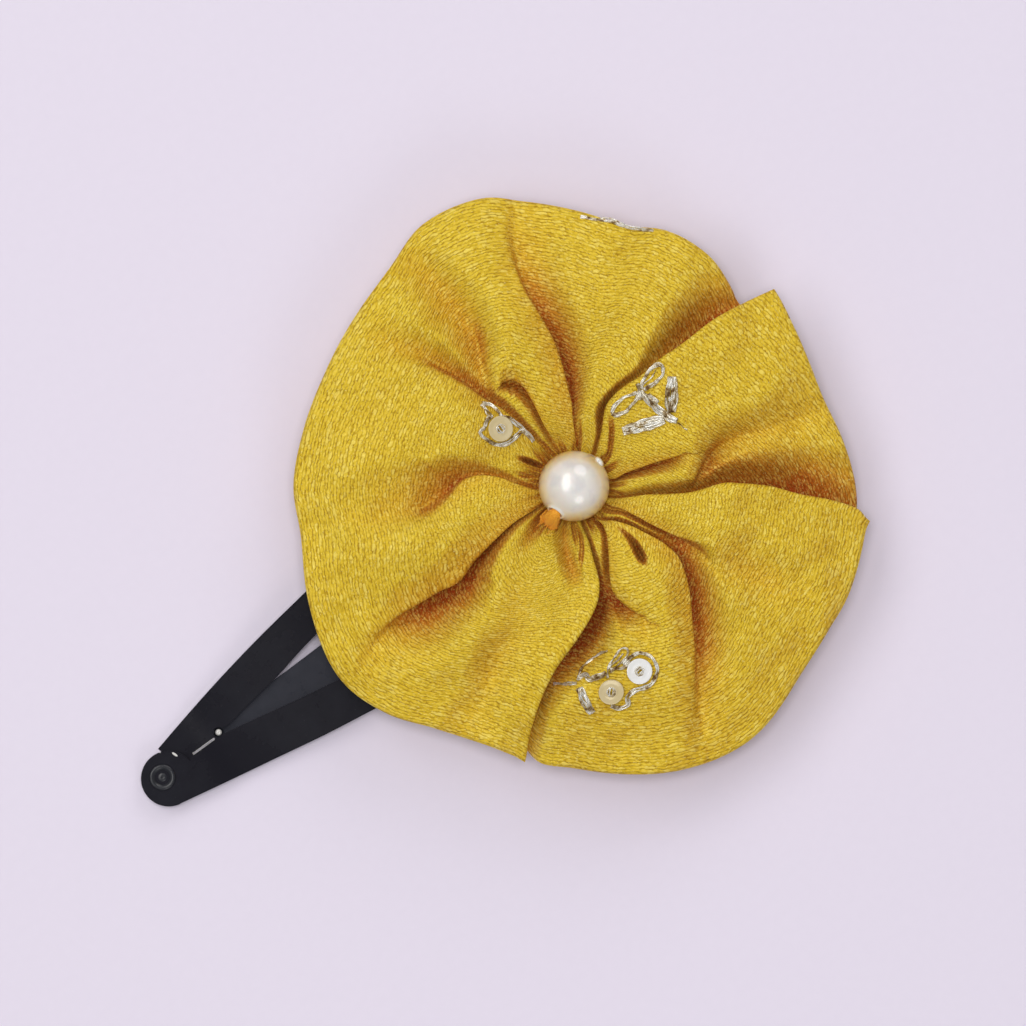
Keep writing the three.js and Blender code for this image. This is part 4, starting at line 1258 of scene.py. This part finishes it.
def ragged_disc(name, radius, z0, z1, ragged, waves, seed):
    """A disc with a cut edge that wanders, and faces that are not quite flat."""
    # share of the radius and of the height, ring by ring over the rim
    rings = [(0.5, 0), (0.85, 0), (0.97, 0), (1, 0.12), (1, 0.5), (1, 0.88), (0.97, 1), (0.85, 1), (0.5, 1)]
    n = 120  # points round the disc
    vertices = [(0, 0, z0)]
    for share, t in rings:
        for k in range(n):
            a = 2 * math.pi * k / n
            wander = 1 + ragged * share * noise.noise((math.cos(a) * waves, math.sin(a) * waves, seed))
            r = radius * share * wander
            x, y = r * math.cos(a), r * math.sin(a)
            dent = 0.12 * (z1 - z0) * noise.noise((x * 0.5, y * 0.5, seed + 5)) if 0 < t < 1 else 0
            vertices.append((x, y, lerp(z0, z1, t) + dent))
    vertices.append((0, 0, z1))
    faces = [(0, 1 + (k + 1) % n, 1 + k) for k in range(n)]
    m = len(rings)
    for i in range(m - 1):
        for k in range(n):
            a, b = 1 + i * n, 1 + (i + 1) * n
            faces.append((a + k, a + (k + 1) % n, b + (k + 1) % n, b + k))
    top = 1 + (m - 1) * n
    faces += [(len(vertices) - 1, top + k, top + (k + 1) % n) for k in range(n)]
    return new_object(name, vertices, faces)


low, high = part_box("felt_backing")
felt = ragged_disc("felt_disc", 13, low.z / MM, high.z / MM, 0.03, 2.0, 1.0)
finish_piece(felt, FELT, "heel", ["felt_backing"])
low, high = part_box("glue_pad")
glue = ragged_disc("glue_bead", 7.4, low.z / MM, high.z / MM, 0.12, 1.6, 4.0)
finish_piece(glue, GLUE, "heel", ["glue_pad"])

# ---------------------------------------------------------------- floor, light and camera

VIEW_TURN = math.radians(-36)  # the clip points to the lower left of the picture
CENTRE = Vector((-0.00745, 0.0016, 0.0))  # the point in the middle of the picture, in metres
DISTANCE = 1.6  # from there to the camera
FIELD = 0.1173  # width of the picture, measured at the height FIELD_AT
FIELD_AT = 0.010
SENSOR = 36

FLOOR = 3.0 / MM  # half its width
corners = [(-FLOOR, -FLOOR, 0), (FLOOR, -FLOOR, 0), (FLOOR, FLOOR, 0), (-FLOOR, FLOOR, 0)]
floor = new_object("floor", corners, [(0, 1, 2, 3)])
s = Shader("pale_paper")
tooth = s.noise(s.position(), 900.0, 3.0)
s.set(Base_Color=s.mix(tooth, (0.74, 0.68, 0.79), (0.76, 0.70, 0.81)), Roughness=0.8, Specular_IOR_Level=0.2)
s.set(Normal=s.bump(tooth, 0.08, 0.0001))
floor.data.materials.append(s.material)

world = bpy.data.worlds.new("studio")
world.use_nodes = True
background = world.node_tree.nodes["Background"]
background.inputs["Color"].default_value = (0.96, 0.97, 1.0, 1)
background.inputs["Strength"].default_value = 0.21
scene.world = world


def area_light(name, picture_angle, tilt, far, width, power, colour=(1, 1, 1), tall=1.0):
    """A soft light; picture_angle is where it stands, counter-clockwise from the picture's right,
    and tilt how far it is down from straight above, in degrees. tall is how much longer it is up
    the picture than across."""
    data = bpy.data.lights.new(name, "AREA")
    data.shape, data.size, data.size_y = "ELLIPSE", width, width * tall
    data.energy, data.color = power, colour
    light = bpy.data.objects.new(name, data)
    a = math.radians(picture_angle) + VIEW_TURN
    t = math.radians(tilt)
    towards = Vector((math.sin(t) * math.cos(a), math.sin(t) * math.sin(a), math.cos(t)))
    light.location = CENTRE + far * towards
    back = (light.location - CENTRE).normalized()
    up = Vector((-math.sin(VIEW_TURN), math.cos(VIEW_TURN), 0))
    side = up.cross(back).normalized()
    light.rotation_euler = Matrix((side, back.cross(side), back)).transposed().to_euler()
    scene.collection.objects.link(light)
    return light


area_light("key", 154, 28, 1.0, 0.52, 3.7, (1.0, 0.985, 0.96), tall=2.3)
area_light("top", 68, 57, 1.1, 0.72, 2.3)
area_light("low", -69, 49, 1.1, 0.52, 1.25)
overhead = area_light("overhead", 110, 2, 1.8, 0.5, 13.3)
overhead.visible_glossy = False  # fills the folds without a spot on the pearl's crown

camera_data = bpy.data.cameras.new("camera")
camera_data.sensor_width = SENSOR
camera_data.lens = SENSOR * (DISTANCE - FIELD_AT) / FIELD
camera_data.clip_start = 0.01
camera = bpy.data.objects.new("camera", camera_data)
camera.location = CENTRE + Vector((0, 0, DISTANCE))
camera.rotation_euler = (0, 0, VIEW_TURN)
scene.collection.objects.link(camera)
scene.camera = camera
scene.view_settings.view_transform = "Standard"
